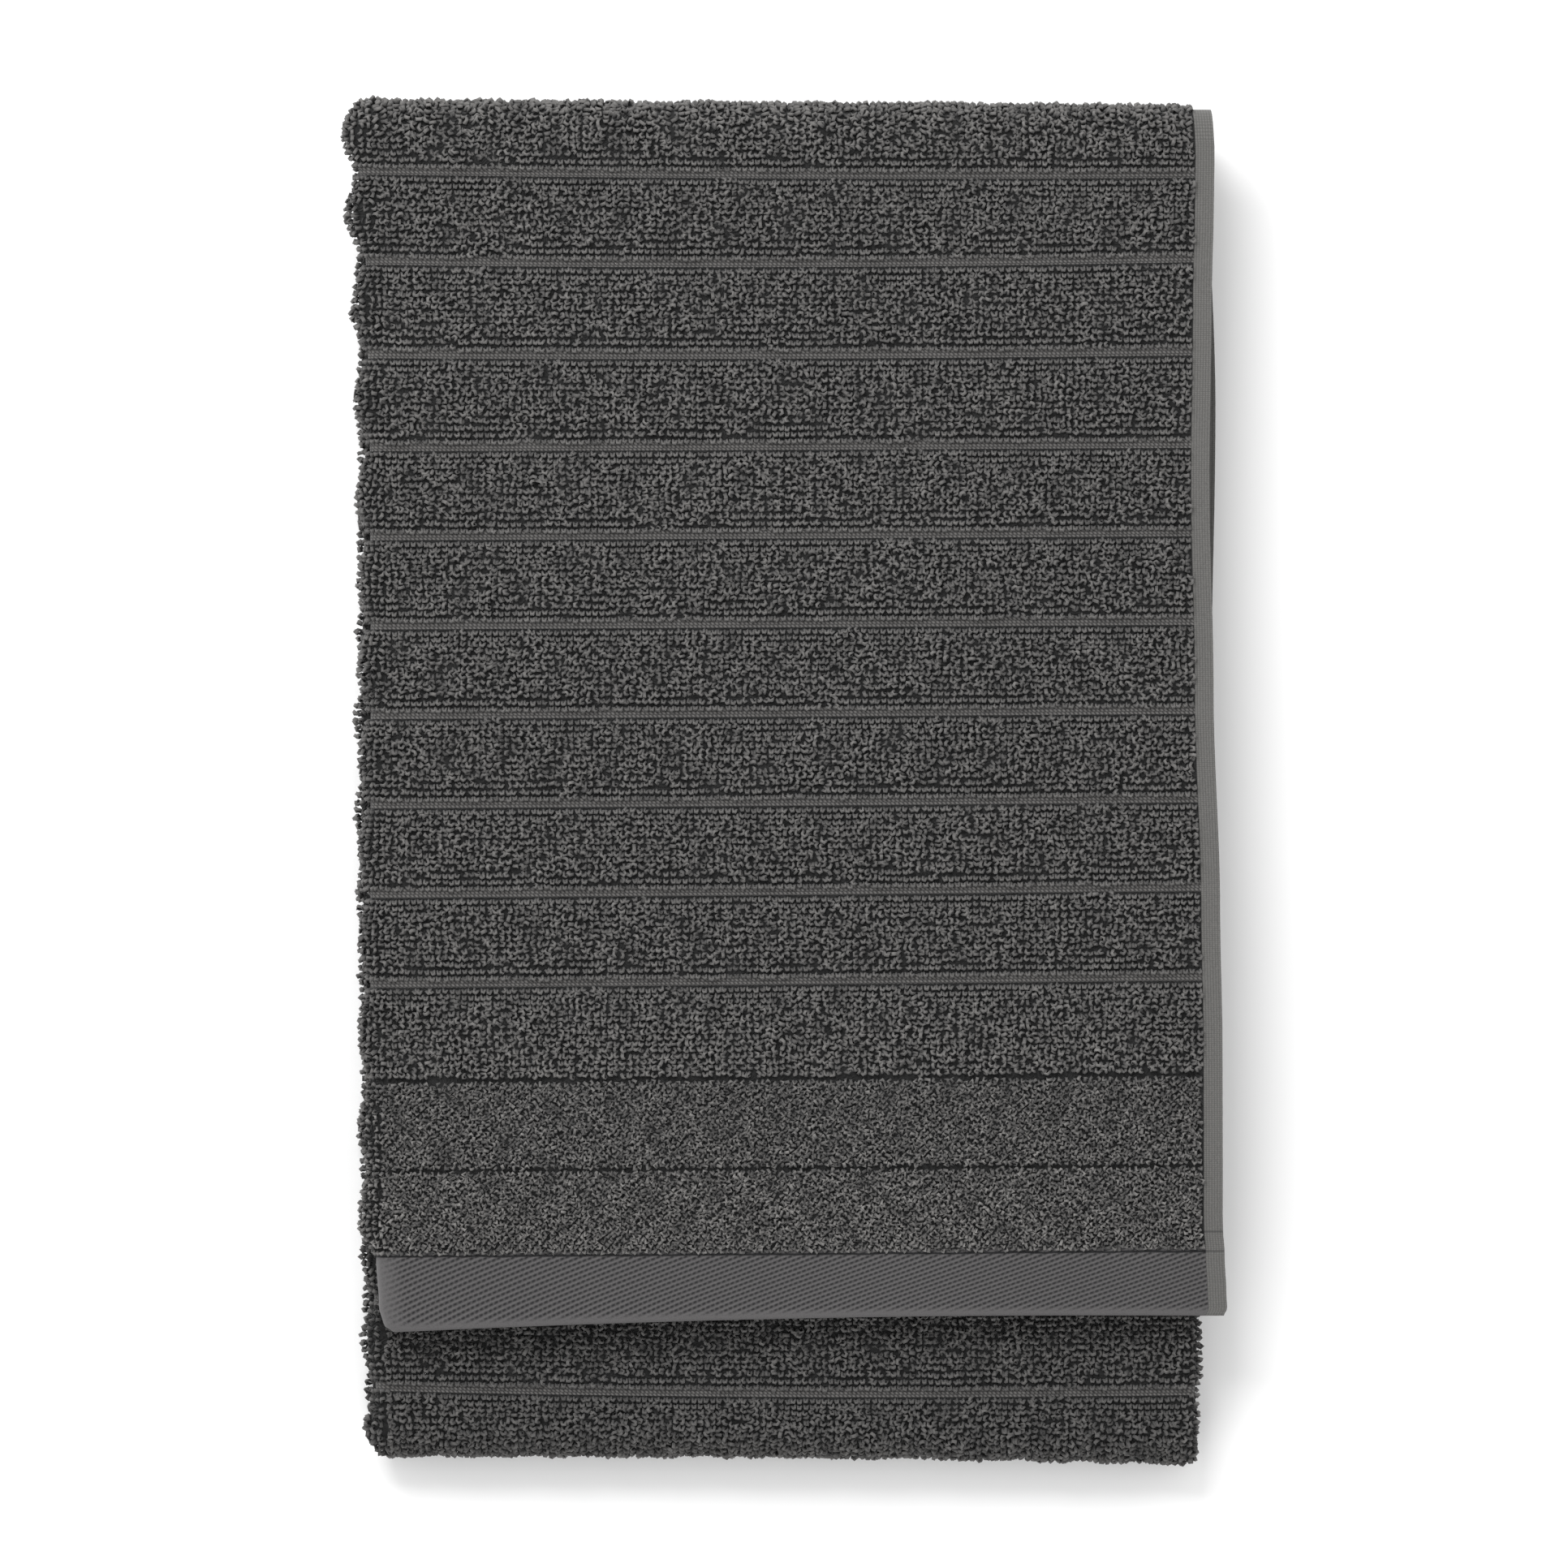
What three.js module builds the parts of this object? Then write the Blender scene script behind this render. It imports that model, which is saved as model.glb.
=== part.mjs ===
// A folded terry bath towel: one woven cloth with looped pile on both faces, narrow flat-woven ribs
// across it, a turned hem at each end and a smooth selvedge down each side. It is folded lengthwise
// in three and then crosswise into four runs, and lies on its back face with the front flap up.
// Millimetres, +Z up, +Y towards the top fold, origin under the middle of the folded bundle.
import * as THREE from "three";

// The flat cloth: across is the weft direction and along is the warp direction.
const CLOTH_WIDTH = 700;
const RIB_PITCH = 24.97;
const RIB_COUNT = 49;
const FIRST_RIB = 95.7;
const CLOTH_LENGTH = 2 * FIRST_RIB + (RIB_COUNT - 1) * RIB_PITCH;

// Half thicknesses, from the middle of the cloth to its face.
const PILE_HALF = 1.5;
const INNER_PILE_HALF = 1.4;
const RIB_HALF = 0.5;
const GROOVE_HALF = 0.6;
const HEM_HALF = 1;
const HEM_EDGE_HALF = 0.6;
const SEAM_HALF = 0.6;
const SELVEDGE_HALF = 0.6;

// Widths of the woven details, and how far each shoulder of the pile slopes.
const RIB_FLOOR = 1.2;
const RIB_SHOULDER = 2.1;
const GROOVE_SHOULDER = 1.6;
const GROOVES = [43.5, 68.6];
const HEM_DEPTH = 20;
const HEM_TURN = 1.6;
const SEAM_WIDTH = 1;
const SELVEDGE_WIDTH = 5.5;
const SELVEDGE_STEP = 0.8;

// The lengthwise fold: three panels LAYER_PITCH apart, the front one over the tucked one.
const LAYER_PITCH = 3.4;
const TUCKED_EDGE_ROOM = 2.4;
const LEFT_BEND = Math.PI * LAYER_PITCH;
const RIGHT_BEND = (Math.PI * LAYER_PITCH) / 2;
const FRONT_PANEL = 234;
const MIDDLE_PANEL = 226;
const TUCKED_PANEL = CLOTH_WIDTH - FRONT_PANEL - LEFT_BEND - MIDDLE_PANEL - RIGHT_BEND;

// The crosswise folds: runs of the folded strip, RUN_SPACING apart, stacked from the back run up.
const STRIP_HALF = LAYER_PITCH + PILE_HALF;
const RUN_SPACING = 11;
const TURN_RADIUS = RUN_SPACING / 2;
const BOTTOM_TURN_RADIUS = 6.9;
const TOP_TURN_CLOTH = 14.7;
const LEVEL = {
  back: STRIP_HALF,
  tucked: STRIP_HALF + RUN_SPACING,
  second: STRIP_HALF + 2 * RUN_SPACING,
  front: STRIP_HALF + 3 * RUN_SPACING,
};
const HEM_Y = -150.2;
const TOP_Y = 180.2;
const BOTTOM_Y = -178.6;
const BACK_TOP_Y = 179.8;

// Past the end of the tucked run the two upper runs sink towards the back run.
const SAG = LEVEL.second - LEVEL.back - 2 * BOTTOM_TURN_RADIUS;
const SAG_START_Y = -100;
const SAG_END_Y = -165;

// The bundle is a little lower at its sides and ends than in its middle.
const CROWN = { side: 0.04, end: 0.02, halfWidth: 120, halfLength: 190 };

// Where along the cloth each crosswise fold starts and ends.
const topStart = TOP_Y - HEM_Y;
const topEnd = topStart + TOP_TURN_CLOTH;
const bottomStart = topEnd + TOP_Y - BOTTOM_Y;
const bottomEnd = bottomStart + Math.PI * BOTTOM_TURN_RADIUS;
const backStart = bottomEnd + BACK_TOP_Y - BOTTOM_Y;
const backEnd = backStart + Math.PI * TURN_RADIUS;

// The edges of the folded strip at places along the cloth: the left fold at full pile, how much
// the ribs draw it in, the front panel's selvedge and the right turn of the middle panel.
const EDGES = [
  { along: 0, fold: -109.8, drawn: 0, selvedge: 122.4, turn: 115.0 },
  { along: 19, fold: -113.0, drawn: 0, selvedge: 123.2, turn: 115.4 },
  { along: 27, fold: -117.8, drawn: 1.2, selvedge: 122.1, turn: 116.0 },
  { along: 75, fold: -117.9, drawn: 1.4, selvedge: 122.0, turn: 116.2 },
  { along: 115, fold: -118.3, drawn: 1.6, selvedge: 121.3, turn: 116.6 },
  { along: 175, fold: -118.2, drawn: 1.6, selvedge: 119.5, turn: 116.0 },
  { along: 235, fold: -118.6, drawn: 1.8, selvedge: 118.4, turn: 115.0 },
  { along: 283, fold: -120.2, drawn: 2.4, selvedge: 119.0, turn: 115.6 },
  { along: 312, fold: -122.2, drawn: 3.0, selvedge: 119.6, turn: 115.2 },
  { along: 327, fold: -123.3, drawn: 2.4, selvedge: 119.8, turn: 114.6 },
  { along: 345, fold: -120.6, drawn: 1.8, selvedge: 118.4, turn: 114.4 },
  { along: 420, fold: -118.4, drawn: 1.5, selvedge: 120.6, turn: 116.6 },
  { along: 520, fold: -119.6, drawn: 1.7, selvedge: 119.0, turn: 115.4 },
  { along: 620, fold: -117.6, drawn: 1.5, selvedge: 120.2, turn: 116.2 },
  { along: 682, fold: -118.2, drawn: 2.0, selvedge: 119.4, turn: 116.4 },
  { along: 714, fold: -116.6, drawn: 1.4, selvedge: 118.8, turn: 115.4 },
  { along: 800, fold: -119.4, drawn: 1.6, selvedge: 121.4, turn: 117.2 },
  { along: 900, fold: -117.8, drawn: 1.5, selvedge: 119.4, turn: 115.8 },
  { along: 1000, fold: -119.8, drawn: 1.8, selvedge: 120.8, turn: 117.0 },
  { along: 1093, fold: -118.6, drawn: 1.6, selvedge: 116.6, turn: 112.4 },
  { along: 1200, fold: -117.4, drawn: 1.4, selvedge: 118.8, turn: 115.0 },
  { along: 1340, fold: -118.8, drawn: 1.5, selvedge: 120.0, turn: 116.0 },
  { along: CLOTH_LENGTH, fold: -113.6, drawn: 0, selvedge: 119.4, turn: 115.2 },
];

// How far the weft rows wander from straight: the shift in Y at the left, middle and right.
const ROWS = [
  { along: 0, left: -2.7, middle: 1.2, right: 2.0 },
  { along: 20, left: -1.0, middle: -0.3, right: 0.5 },
  { along: 96, left: -0.9, middle: 0, right: 1.1 },
  { along: 196, left: -1.1, middle: -0.5, right: 0.2 },
  { along: 246, left: -1.4, middle: -1.1, right: -0.5 },
  { along: 296, left: 0.5, middle: -0.2, right: 1.2 },
  { along: 321, left: 0.6, middle: -0.5, right: -0.3 },
  { along: 338, left: 0, middle: -0.9, right: -2.8 },
  { along: 430, left: 0, middle: 0, right: 0 },
  { along: 640, left: 0, middle: 0, right: 0 },
  { along: 695, left: 1.2, middle: -0.4, right: 0.1 },
  { along: 715, left: 2.2, middle: 2.0, right: 0.1 },
  { along: 800, left: 0, middle: 0, right: 0 },
  { along: 1040, left: 0, middle: 0, right: 0 },
  { along: 1093, left: -1.8, middle: -0.4, right: 0 },
  { along: CLOTH_LENGTH, left: 0.8, middle: -1.2, right: 1.4 },
];
const ROW_SIDE = 110;

// Steps of the facets.
const TURN_STEPS = 6;
const FRONT_STEPS = 4;
const MIDDLE_STEPS = 4;
const TUCKED_STEPS = 2;
const LEFT_BEND_STEPS = 5;
const RIGHT_BEND_STEPS = 4;
const SAG_STEPS = 4;
const COARSE_BANDS = 2;
const CLOSEST_STATIONS = 0.5;

function smooth(t) {
  const s = Math.min(Math.max(t, 0), 1);
  return s * s * (3 - 2 * s);
}

// One column of a table at a place along the cloth, eased from row to row.
function tableAt(table, column, along) {
  const next = table.findIndex((row) => row.along >= along);
  if (next <= 0) return table[next === 0 ? 0 : table.length - 1][column];
  const a = table[next - 1];
  const b = table[next];
  const t = smooth((along - a.along) / (b.along - a.along));
  return a[column] + (b[column] - a[column]) * t;
}

// Distance to the nearest rib, which the two hem ends share as they are woven alike.
function toNearestRib(along) {
  const last = RIB_COUNT - 1;
  const index = Math.round((along - FIRST_RIB) / RIB_PITCH);
  const rib = FIRST_RIB + Math.min(Math.max(index, 0), last) * RIB_PITCH;
  return Math.abs(along - rib);
}

function toNearestGroove(along) {
  const fromHem = Math.min(along, CLOTH_LENGTH - along);
  return Math.min(...GROOVES.map((place) => Math.abs(fromHem - place)));
}

// How far the pile stands from the middle of the cloth on a face that shows.
function faceHalf(across, along) {
  const fromSide = Math.min(across, CLOTH_WIDTH - across);
  const fromEnd = Math.min(along, CLOTH_LENGTH - along);
  if (fromSide <= SELVEDGE_WIDTH) return SELVEDGE_HALF;
  if (fromEnd < HEM_TURN) return HEM_EDGE_HALF;
  if (fromEnd < HEM_DEPTH - SEAM_WIDTH) return HEM_HALF;
  if (fromEnd < HEM_DEPTH + SEAM_WIDTH) return SEAM_HALF;
  if (toNearestRib(along) < (RIB_FLOOR + RIB_SHOULDER) / 2) return RIB_HALF;
  if (toNearestGroove(along) < GROOVE_SHOULDER / 2) return GROOVE_HALF;
  return PILE_HALF;
}

// The same on a face that lies inside the folds, where the pile is pressed even.
function innerHalf(across, along) {
  return Math.min(INNER_PILE_HALF, faceHalf(across, along));
}

// How far the pile swells out of the left fold between two ribs.
function foldSwell(along) {
  const gap = Math.min(toNearestRib(along), toNearestGroove(along));
  return tableAt(EDGES, "drawn", along) * smooth((2 * gap) / RIB_PITCH);
}

// A point of the strip's section: x across the bundle and h along the strip's own normal,
// offset from the middle of the cloth towards its outer face.
function sectionPoint(across, along, offset) {
  const bend = tableAt(EDGES, "fold", along) + tableAt(EDGES, "drawn", along) + STRIP_HALF;
  const turn = tableAt(EDGES, "turn", along) - LAYER_PITCH / 2 - PILE_HALF;
  const selvedge = tableAt(EDGES, "selvedge", along);
  let u = across;
  if (u <= FRONT_PANEL) {
    return { x: selvedge + ((bend - selvedge) * u) / FRONT_PANEL, h: LAYER_PITCH + offset };
  }
  u -= FRONT_PANEL;
  if (u < LEFT_BEND) {
    const angle = u / LAYER_PITCH;
    const radius = LAYER_PITCH + offset;
    const swell = offset > 0 ? foldSwell(along) : 0;
    return { x: bend - (radius + swell) * Math.sin(angle), h: radius * Math.cos(angle) };
  }
  u -= LEFT_BEND;
  if (u <= MIDDLE_PANEL) {
    return { x: bend + ((turn - bend) * u) / MIDDLE_PANEL, h: -LAYER_PITCH - offset };
  }
  u -= MIDDLE_PANEL;
  if (u < RIGHT_BEND) {
    const angle = (2 * u) / LAYER_PITCH;
    const radius = LAYER_PITCH / 2 + offset;
    return { x: turn + radius * Math.sin(angle), h: -LAYER_PITCH / 2 - radius * Math.cos(angle) };
  }
  u -= RIGHT_BEND;
  const tuckedEnd = bend + TUCKED_EDGE_ROOM;
  return { x: turn + ((tuckedEnd - turn) * u) / TUCKED_PANEL, h: offset };
}

function sagAt(y) {
  return SAG * smooth((y - SAG_START_Y) / (SAG_END_Y - SAG_START_Y));
}

// The strip's way through the bundle: its middle and its normal, in the plane of Y and Z.
function wayPoint(along) {
  if (along <= topStart) {
    const y = HEM_Y + along;
    return { y, z: LEVEL.front - sagAt(y), ny: 0, nz: 1 };
  }
  if (along < topEnd) {
    const angle = (Math.PI * (along - topStart)) / TOP_TURN_CLOTH;
    const ny = Math.sin(angle);
    const nz = Math.cos(angle);
    const middle = LEVEL.front - TURN_RADIUS;
    return { y: TOP_Y + TURN_RADIUS * ny, z: middle + TURN_RADIUS * nz, ny, nz };
  }
  if (along <= bottomStart) {
    const y = TOP_Y - (along - topEnd);
    return { y, z: LEVEL.second - sagAt(y), ny: 0, nz: -1 };
  }
  if (along < bottomEnd) {
    const angle = (along - bottomStart) / BOTTOM_TURN_RADIUS;
    const ny = Math.sin(angle);
    const nz = -Math.cos(angle);
    const middle = LEVEL.back + BOTTOM_TURN_RADIUS;
    return { y: BOTTOM_Y - BOTTOM_TURN_RADIUS * ny, z: middle - BOTTOM_TURN_RADIUS * nz, ny, nz };
  }
  if (along <= backStart) {
    return { y: BOTTOM_Y + along - bottomEnd, z: LEVEL.back, ny: 0, nz: 1 };
  }
  if (along < backEnd) {
    const angle = (along - backStart) / TURN_RADIUS;
    const ny = -Math.sin(angle);
    const nz = Math.cos(angle);
    const middle = LEVEL.back + TURN_RADIUS;
    return { y: BACK_TOP_Y - TURN_RADIUS * ny, z: middle - TURN_RADIUS * nz, ny, nz };
  }
  return { y: BACK_TOP_Y - (along - backEnd), z: LEVEL.tucked, ny: 0, nz: -1 };
}

function rowShift(x, along) {
  const s = Math.min(Math.max(x / ROW_SIDE, -1), 1);
  const left = tableAt(ROWS, "left", along);
  const middle = tableAt(ROWS, "middle", along);
  const right = tableAt(ROWS, "right", along);
  return middle + ((right - left) / 2) * s + ((right + left) / 2 - middle) * s * s;
}

// A point of the folded cloth, offset from the middle of the cloth towards its outer face.
function clothPoint(across, along, offset) {
  const section = sectionPoint(across, along, offset);
  const way = wayPoint(along);
  const y = way.y + way.ny * section.h;
  const flatZ = way.z + way.nz * section.h;
  const side = section.x / CROWN.halfWidth;
  const end = y / CROWN.halfLength;
  const z = flatZ * (1 - CROWN.side * side * side - CROWN.end * end * end);
  return [section.x, y + rowShift(section.x, along), z];
}

function evenly(from, to, steps) {
  return Array.from({ length: steps + 1 }, (_, i) => from + ((to - from) * i) / steps);
}

// Sorted places with those dropped that lie too close to one of the kept places.
function mergePlaces(kept, extra) {
  const apart = extra.filter((p) => kept.every((k) => Math.abs(k - p) >= CLOSEST_STATIONS));
  return [...kept, ...apart].sort((a, b) => a - b);
}

// Places along the cloth where a hidden face needs a row of points.
function coarseStations() {
  const ends = [0, HEM_TURN, HEM_DEPTH - SEAM_WIDTH, HEM_DEPTH, HEM_DEPTH + 2 * SEAM_WIDTH];
  const folds = [
    ...evenly(topStart, topEnd, TURN_STEPS),
    ...evenly(bottomStart, bottomEnd, TURN_STEPS),
    ...evenly(backStart, backEnd, TURN_STEPS),
  ];
  const sag = evenly(SAG_START_Y, SAG_END_Y, SAG_STEPS);
  const front = sag.map((y) => y - HEM_Y).filter((along) => along > HEM_DEPTH);
  const second = sag.map((y) => topEnd + TOP_Y - y);
  const bands = [];
  for (let k = 0; k < RIB_COUNT - 1; k += COARSE_BANDS) {
    bands.push(FIRST_RIB + (k + 0.5) * RIB_PITCH);
  }
  const both = ends.flatMap((end) => [end, CLOTH_LENGTH - end]);
  return mergePlaces(mergePlaces(both, folds), [...front, ...second, ...bands]);
}

// Places along the cloth that follow every rib, groove and band on a face that shows.
function fineStations(coarse) {
  const places = [];
  for (let k = 0; k < RIB_COUNT; k++) {
    const rib = FIRST_RIB + k * RIB_PITCH;
    places.push(rib - RIB_SHOULDER, rib - RIB_FLOOR, rib + RIB_FLOOR, rib + RIB_SHOULDER);
    if (k < RIB_COUNT - 1) places.push(rib + RIB_PITCH / 2);
  }
  for (const groove of GROOVES) {
    for (const place of [groove - GROOVE_SHOULDER, groove, groove + GROOVE_SHOULDER]) {
      places.push(place, CLOTH_LENGTH - place);
    }
  }
  return mergePlaces(places, coarse);
}

// Places across the cloth, and the stretch of the cloth over which each shows on its outer face.
function columnsAcross() {
  const frontShows = [0, topEnd];
  const middleShows = [topEnd + TOP_Y + Math.abs(HEM_Y) - HEM_DEPTH, backEnd];
  const always = [0, CLOTH_LENGTH];
  const never = [0, 0];
  const bendStart = FRONT_PANEL;
  const bendEnd = bendStart + LEFT_BEND;
  const turnStart = bendEnd + MIDDLE_PANEL;
  const turnEnd = turnStart + RIGHT_BEND;
  const pileStart = SELVEDGE_WIDTH + SELVEDGE_STEP;
  const inside = (from, to, steps) => evenly(from, to, steps).slice(1, -1);
  const places = [
    ...[0, SELVEDGE_WIDTH].map((across) => ({ across, shows: frontShows })),
    ...evenly(pileStart, bendStart, FRONT_STEPS).map((across) => ({ across, shows: frontShows })),
    ...inside(bendStart, bendEnd, LEFT_BEND_STEPS).map((across) => ({ across, shows: always })),
    ...evenly(bendEnd, turnStart, MIDDLE_STEPS).map((across) => ({ across, shows: middleShows })),
    ...inside(turnStart, turnEnd, RIGHT_BEND_STEPS).map((across) => ({ across, shows: always })),
    ...evenly(turnEnd, CLOTH_WIDTH - pileStart, TUCKED_STEPS).map((across) => ({ across, shows: never })),
    ...[CLOTH_WIDTH - SELVEDGE_WIDTH, CLOTH_WIDTH].map((across) => ({ across, shows: never })),
  ];
  return places;
}

// The closed skin of the folded cloth: an outer and an inner face of columns that are zipped
// together, the two selvedge rims and the two hem ends.
function foldedCloth() {
  const positions = [];
  const triangles = [];
  const coarse = coarseStations();
  const fine = fineStations(coarse);

  const addColumn = (across, places, offsetAt) =>
    places.map((along) => {
      positions.push(...clothPoint(across, along, offsetAt(across, along)));
      return { along, index: positions.length / 3 - 1 };
    });
  const mixed = ([from, to]) => [
    ...coarse.filter((along) => along < from || along > to),
    ...fine.filter((along) => along >= from && along <= to),
  ].sort((a, b) => a - b);

  const outer = [];
  const inner = [];
  for (const { across, shows } of columnsAcross()) {
    const places = shows[1] > shows[0] ? mixed(shows) : coarse;
    outer.push(addColumn(across, places, faceHalf));
    inner.push(addColumn(across, coarse, (u, v) => -innerHalf(u, v)));
  }

  // Joins two columns from end to end, always stepping on the one whose next point comes first.
  const zip = (left, right) => {
    let i = 0;
    let j = 0;
    while (i < left.length - 1 || j < right.length - 1) {
      const nextLeft = i < left.length - 1 ? left[i + 1].along : Infinity;
      const nextRight = j < right.length - 1 ? right[j + 1].along : Infinity;
      if (nextLeft <= nextRight) {
        triangles.push(left[i].index, right[j].index, left[i + 1].index);
        i++;
      } else {
        triangles.push(left[i].index, right[j].index, right[j + 1].index);
        j++;
      }
    }
  };
  for (let i = 0; i < outer.length - 1; i++) {
    zip(outer[i + 1], outer[i]);
    zip(inner[i], inner[i + 1]);
  }
  zip(outer[0], inner[0]);
  zip(inner.at(-1), outer.at(-1));

  const closeEnd = (pick, flip) => {
    for (let i = 0; i < outer.length - 1; i++) {
      const [a, b, c, d] = [outer[i], outer[i + 1], inner[i + 1], inner[i]].map((c) => pick(c).index);
      if (flip) triangles.push(a, c, b, a, d, c);
      else triangles.push(a, b, c, a, c, d);
    }
  };
  closeEnd((column) => column[0], false);
  closeEnd((column) => column.at(-1), true);

  const geometry = new THREE.BufferGeometry();
  geometry.setAttribute("position", new THREE.Float32BufferAttribute(positions, 3));
  geometry.setIndex(triangles);
  geometry.computeBoundingBox();
  const middle = geometry.boundingBox.getCenter(new THREE.Vector3());
  geometry.translate(-middle.x, -middle.y, -geometry.boundingBox.min.z);
  return geometry;
}

const greyTerry = new THREE.MeshStandardMaterial({ color: 0x4c4b4a, roughness: 0.95, metalness: 0 });
const towel = new THREE.Mesh(foldedCloth(), greyTerry);
towel.name = "bath_towel";

const foldedTowel = new THREE.Group();
foldedTowel.add(towel);

export default foldedTowel;
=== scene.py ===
# %% [markdown]
# # A folded terry bath towel
# The real towel is one woven cloth of 700 by 1390 mm, with cotton loops on both faces, a narrow
# flat rib every 25 mm, a twill hem at each end and a smooth selvedge down each side. It is folded
# lengthwise in three and crosswise into four runs. The frame holds that folded cloth as a plain
# solid. This lesson builds what shows on it: the woven ground, and tens of thousands of yarn
# loops that follow its folds.

# %% Load the frame
import math

import bmesh
import bpy
import numpy as np
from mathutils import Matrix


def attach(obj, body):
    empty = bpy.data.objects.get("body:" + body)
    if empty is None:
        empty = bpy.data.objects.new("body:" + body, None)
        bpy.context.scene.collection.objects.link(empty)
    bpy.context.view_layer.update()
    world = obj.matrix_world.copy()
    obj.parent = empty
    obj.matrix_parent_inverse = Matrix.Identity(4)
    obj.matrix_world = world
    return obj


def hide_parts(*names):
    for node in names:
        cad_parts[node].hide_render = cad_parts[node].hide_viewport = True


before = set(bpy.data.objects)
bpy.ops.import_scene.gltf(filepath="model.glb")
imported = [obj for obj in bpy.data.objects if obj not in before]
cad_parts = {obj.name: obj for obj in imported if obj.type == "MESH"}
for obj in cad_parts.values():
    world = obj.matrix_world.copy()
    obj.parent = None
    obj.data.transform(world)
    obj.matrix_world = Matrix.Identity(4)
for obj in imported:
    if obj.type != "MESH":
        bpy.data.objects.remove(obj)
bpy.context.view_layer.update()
MM = 0.001

# %% [markdown]
# ## The flat cloth
# A weaver describes a towel flat: `across` is the weft direction and `along` is the warp
# direction, both in millimetres from one corner. Working flat and folding last keeps the ribs,
# grooves, hem and selvedge as simple as they are on the loom.

# %% Sizes of the flat cloth
CLOTH_WIDTH = 700.0
RIB_PITCH = 24.97
RIB_COUNT = 49
FIRST_RIB = 95.7
CLOTH_LENGTH = 2 * FIRST_RIB + (RIB_COUNT - 1) * RIB_PITCH
GROOVES = (43.5, 68.6)
HEM_DEPTH = 20.0
SEAM_WIDTH = 1.0
SELVEDGE_WIDTH = 5.5
RIBS = FIRST_RIB + RIB_PITCH * np.arange(RIB_COUNT)
print(f"flat cloth {CLOTH_WIDTH:.0f} x {CLOTH_LENGTH:.0f} mm with {RIB_COUNT} ribs")

# %% [markdown]
# ## The folds
# The cloth is folded like a letter: a front panel, a bend on the left, a middle panel, a tighter
# bend on the right and a tucked panel between the two. That strip then runs up, over the top
# turn, down, round the bottom turn, up the back and over the back turn. One function can take any
# point of the flat cloth to its place in the bundle, so the ground, the loops and the stitches
# share it and stay together. Its sizes are those of the frame's solid, and two tables make the
# edges uneven.

# %% Sizes of the folds
LAYER_PITCH = 3.4
PILE_HALF = 1.5
TUCKED_EDGE_ROOM = 2.4
FRONT_PANEL = 234.0
LEFT_BEND = math.pi * LAYER_PITCH
MIDDLE_PANEL = 226.0
RIGHT_BEND = math.pi * LAYER_PITCH / 2
TUCKED_PANEL = CLOTH_WIDTH - FRONT_PANEL - LEFT_BEND - MIDDLE_PANEL - RIGHT_BEND
MIDDLE_START = FRONT_PANEL + LEFT_BEND
TURN_START = MIDDLE_START + MIDDLE_PANEL
TURN_END = TURN_START + RIGHT_BEND

STRIP_HALF = LAYER_PITCH + PILE_HALF
RUN_SPACING = 11.0
TURN_RADIUS = RUN_SPACING / 2
BOTTOM_TURN_RADIUS = 6.9
TOP_TURN_CLOTH = 14.7
BACK_LEVEL, TUCKED_LEVEL, SECOND_LEVEL, FRONT_LEVEL = STRIP_HALF + RUN_SPACING * np.arange(4)
HEM_Y = -150.2
TOP_Y = 180.2
BOTTOM_Y = -178.6
BACK_TOP_Y = 179.8
SAG = SECOND_LEVEL - BACK_LEVEL - 2 * BOTTOM_TURN_RADIUS
SAG_START_Y = -100.0
SAG_END_Y = -165.0
CROWN_SIDE = 0.04
CROWN_END = 0.02
HALF_WIDTH = 120.0
HALF_LENGTH = 190.0
ROW_SIDE = 110.0
DRAWN_IN = 1.35

TOP_START = TOP_Y - HEM_Y
TOP_END = TOP_START + TOP_TURN_CLOTH
BOTTOM_START = TOP_END + TOP_Y - BOTTOM_Y
BOTTOM_END = BOTTOM_START + math.pi * BOTTOM_TURN_RADIUS
BACK_START = BOTTOM_END + BACK_TOP_Y - BOTTOM_Y
BACK_END = BACK_START + math.pi * TURN_RADIUS
TURNS = ((TOP_START, TOP_END), (BOTTOM_START, BOTTOM_END), (BACK_START, BACK_END))

# %% How the edges and the weft rows wander along the cloth
EDGE_COLUMNS = ("along", "fold", "drawn", "selvedge", "turn")
EDGES = [
    (0, -110.0, 0, 122.6, 115.0),
    (2, -112.2, 0, 123.5, 115.0),
    (6, -113.4, 0, 123.3, 115.1),
    (19, -114.2, 0, 122.7, 115.4),
    (27, -117.8, 1.2, 122.1, 116.0),
    (75, -117.9, 1.4, 122.0, 116.2),
    (115, -118.3, 1.6, 121.3, 116.6),
    (175, -118.2, 1.6, 119.5, 116.0),
    (235, -118.6, 1.8, 118.4, 115.0),
    (283, -120.2, 2.4, 119.0, 115.6),
    (312, -122.2, 3.0, 119.6, 115.2),
    (327, -123.3, 2.4, 119.8, 114.6),
    (345, -120.6, 1.8, 118.4, 114.4),
    (420, -118.4, 1.5, 120.6, 116.6),
    (520, -119.6, 1.7, 119.0, 115.4),
    (620, -117.6, 1.5, 118.6, 116.2),
    (682, -118.2, 2.0, 115.0, 116.4),
    (714, -116.6, 1.4, 114.6, 115.4),
    (800, -119.4, 1.6, 116.8, 117.2),
    (900, -117.8, 1.5, 119.4, 115.8),
    (1000, -119.8, 1.8, 120.8, 117.0),
    (1093, -118.6, 1.6, 116.6, 112.4),
    (1200, -117.4, 1.4, 118.8, 115.0),
    (1340, -118.8, 1.5, 120.0, 116.0),
    (CLOTH_LENGTH, -113.6, 0, 119.4, 115.2),
]
ROW_COLUMNS = ("along", "left", "middle", "right")
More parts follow.
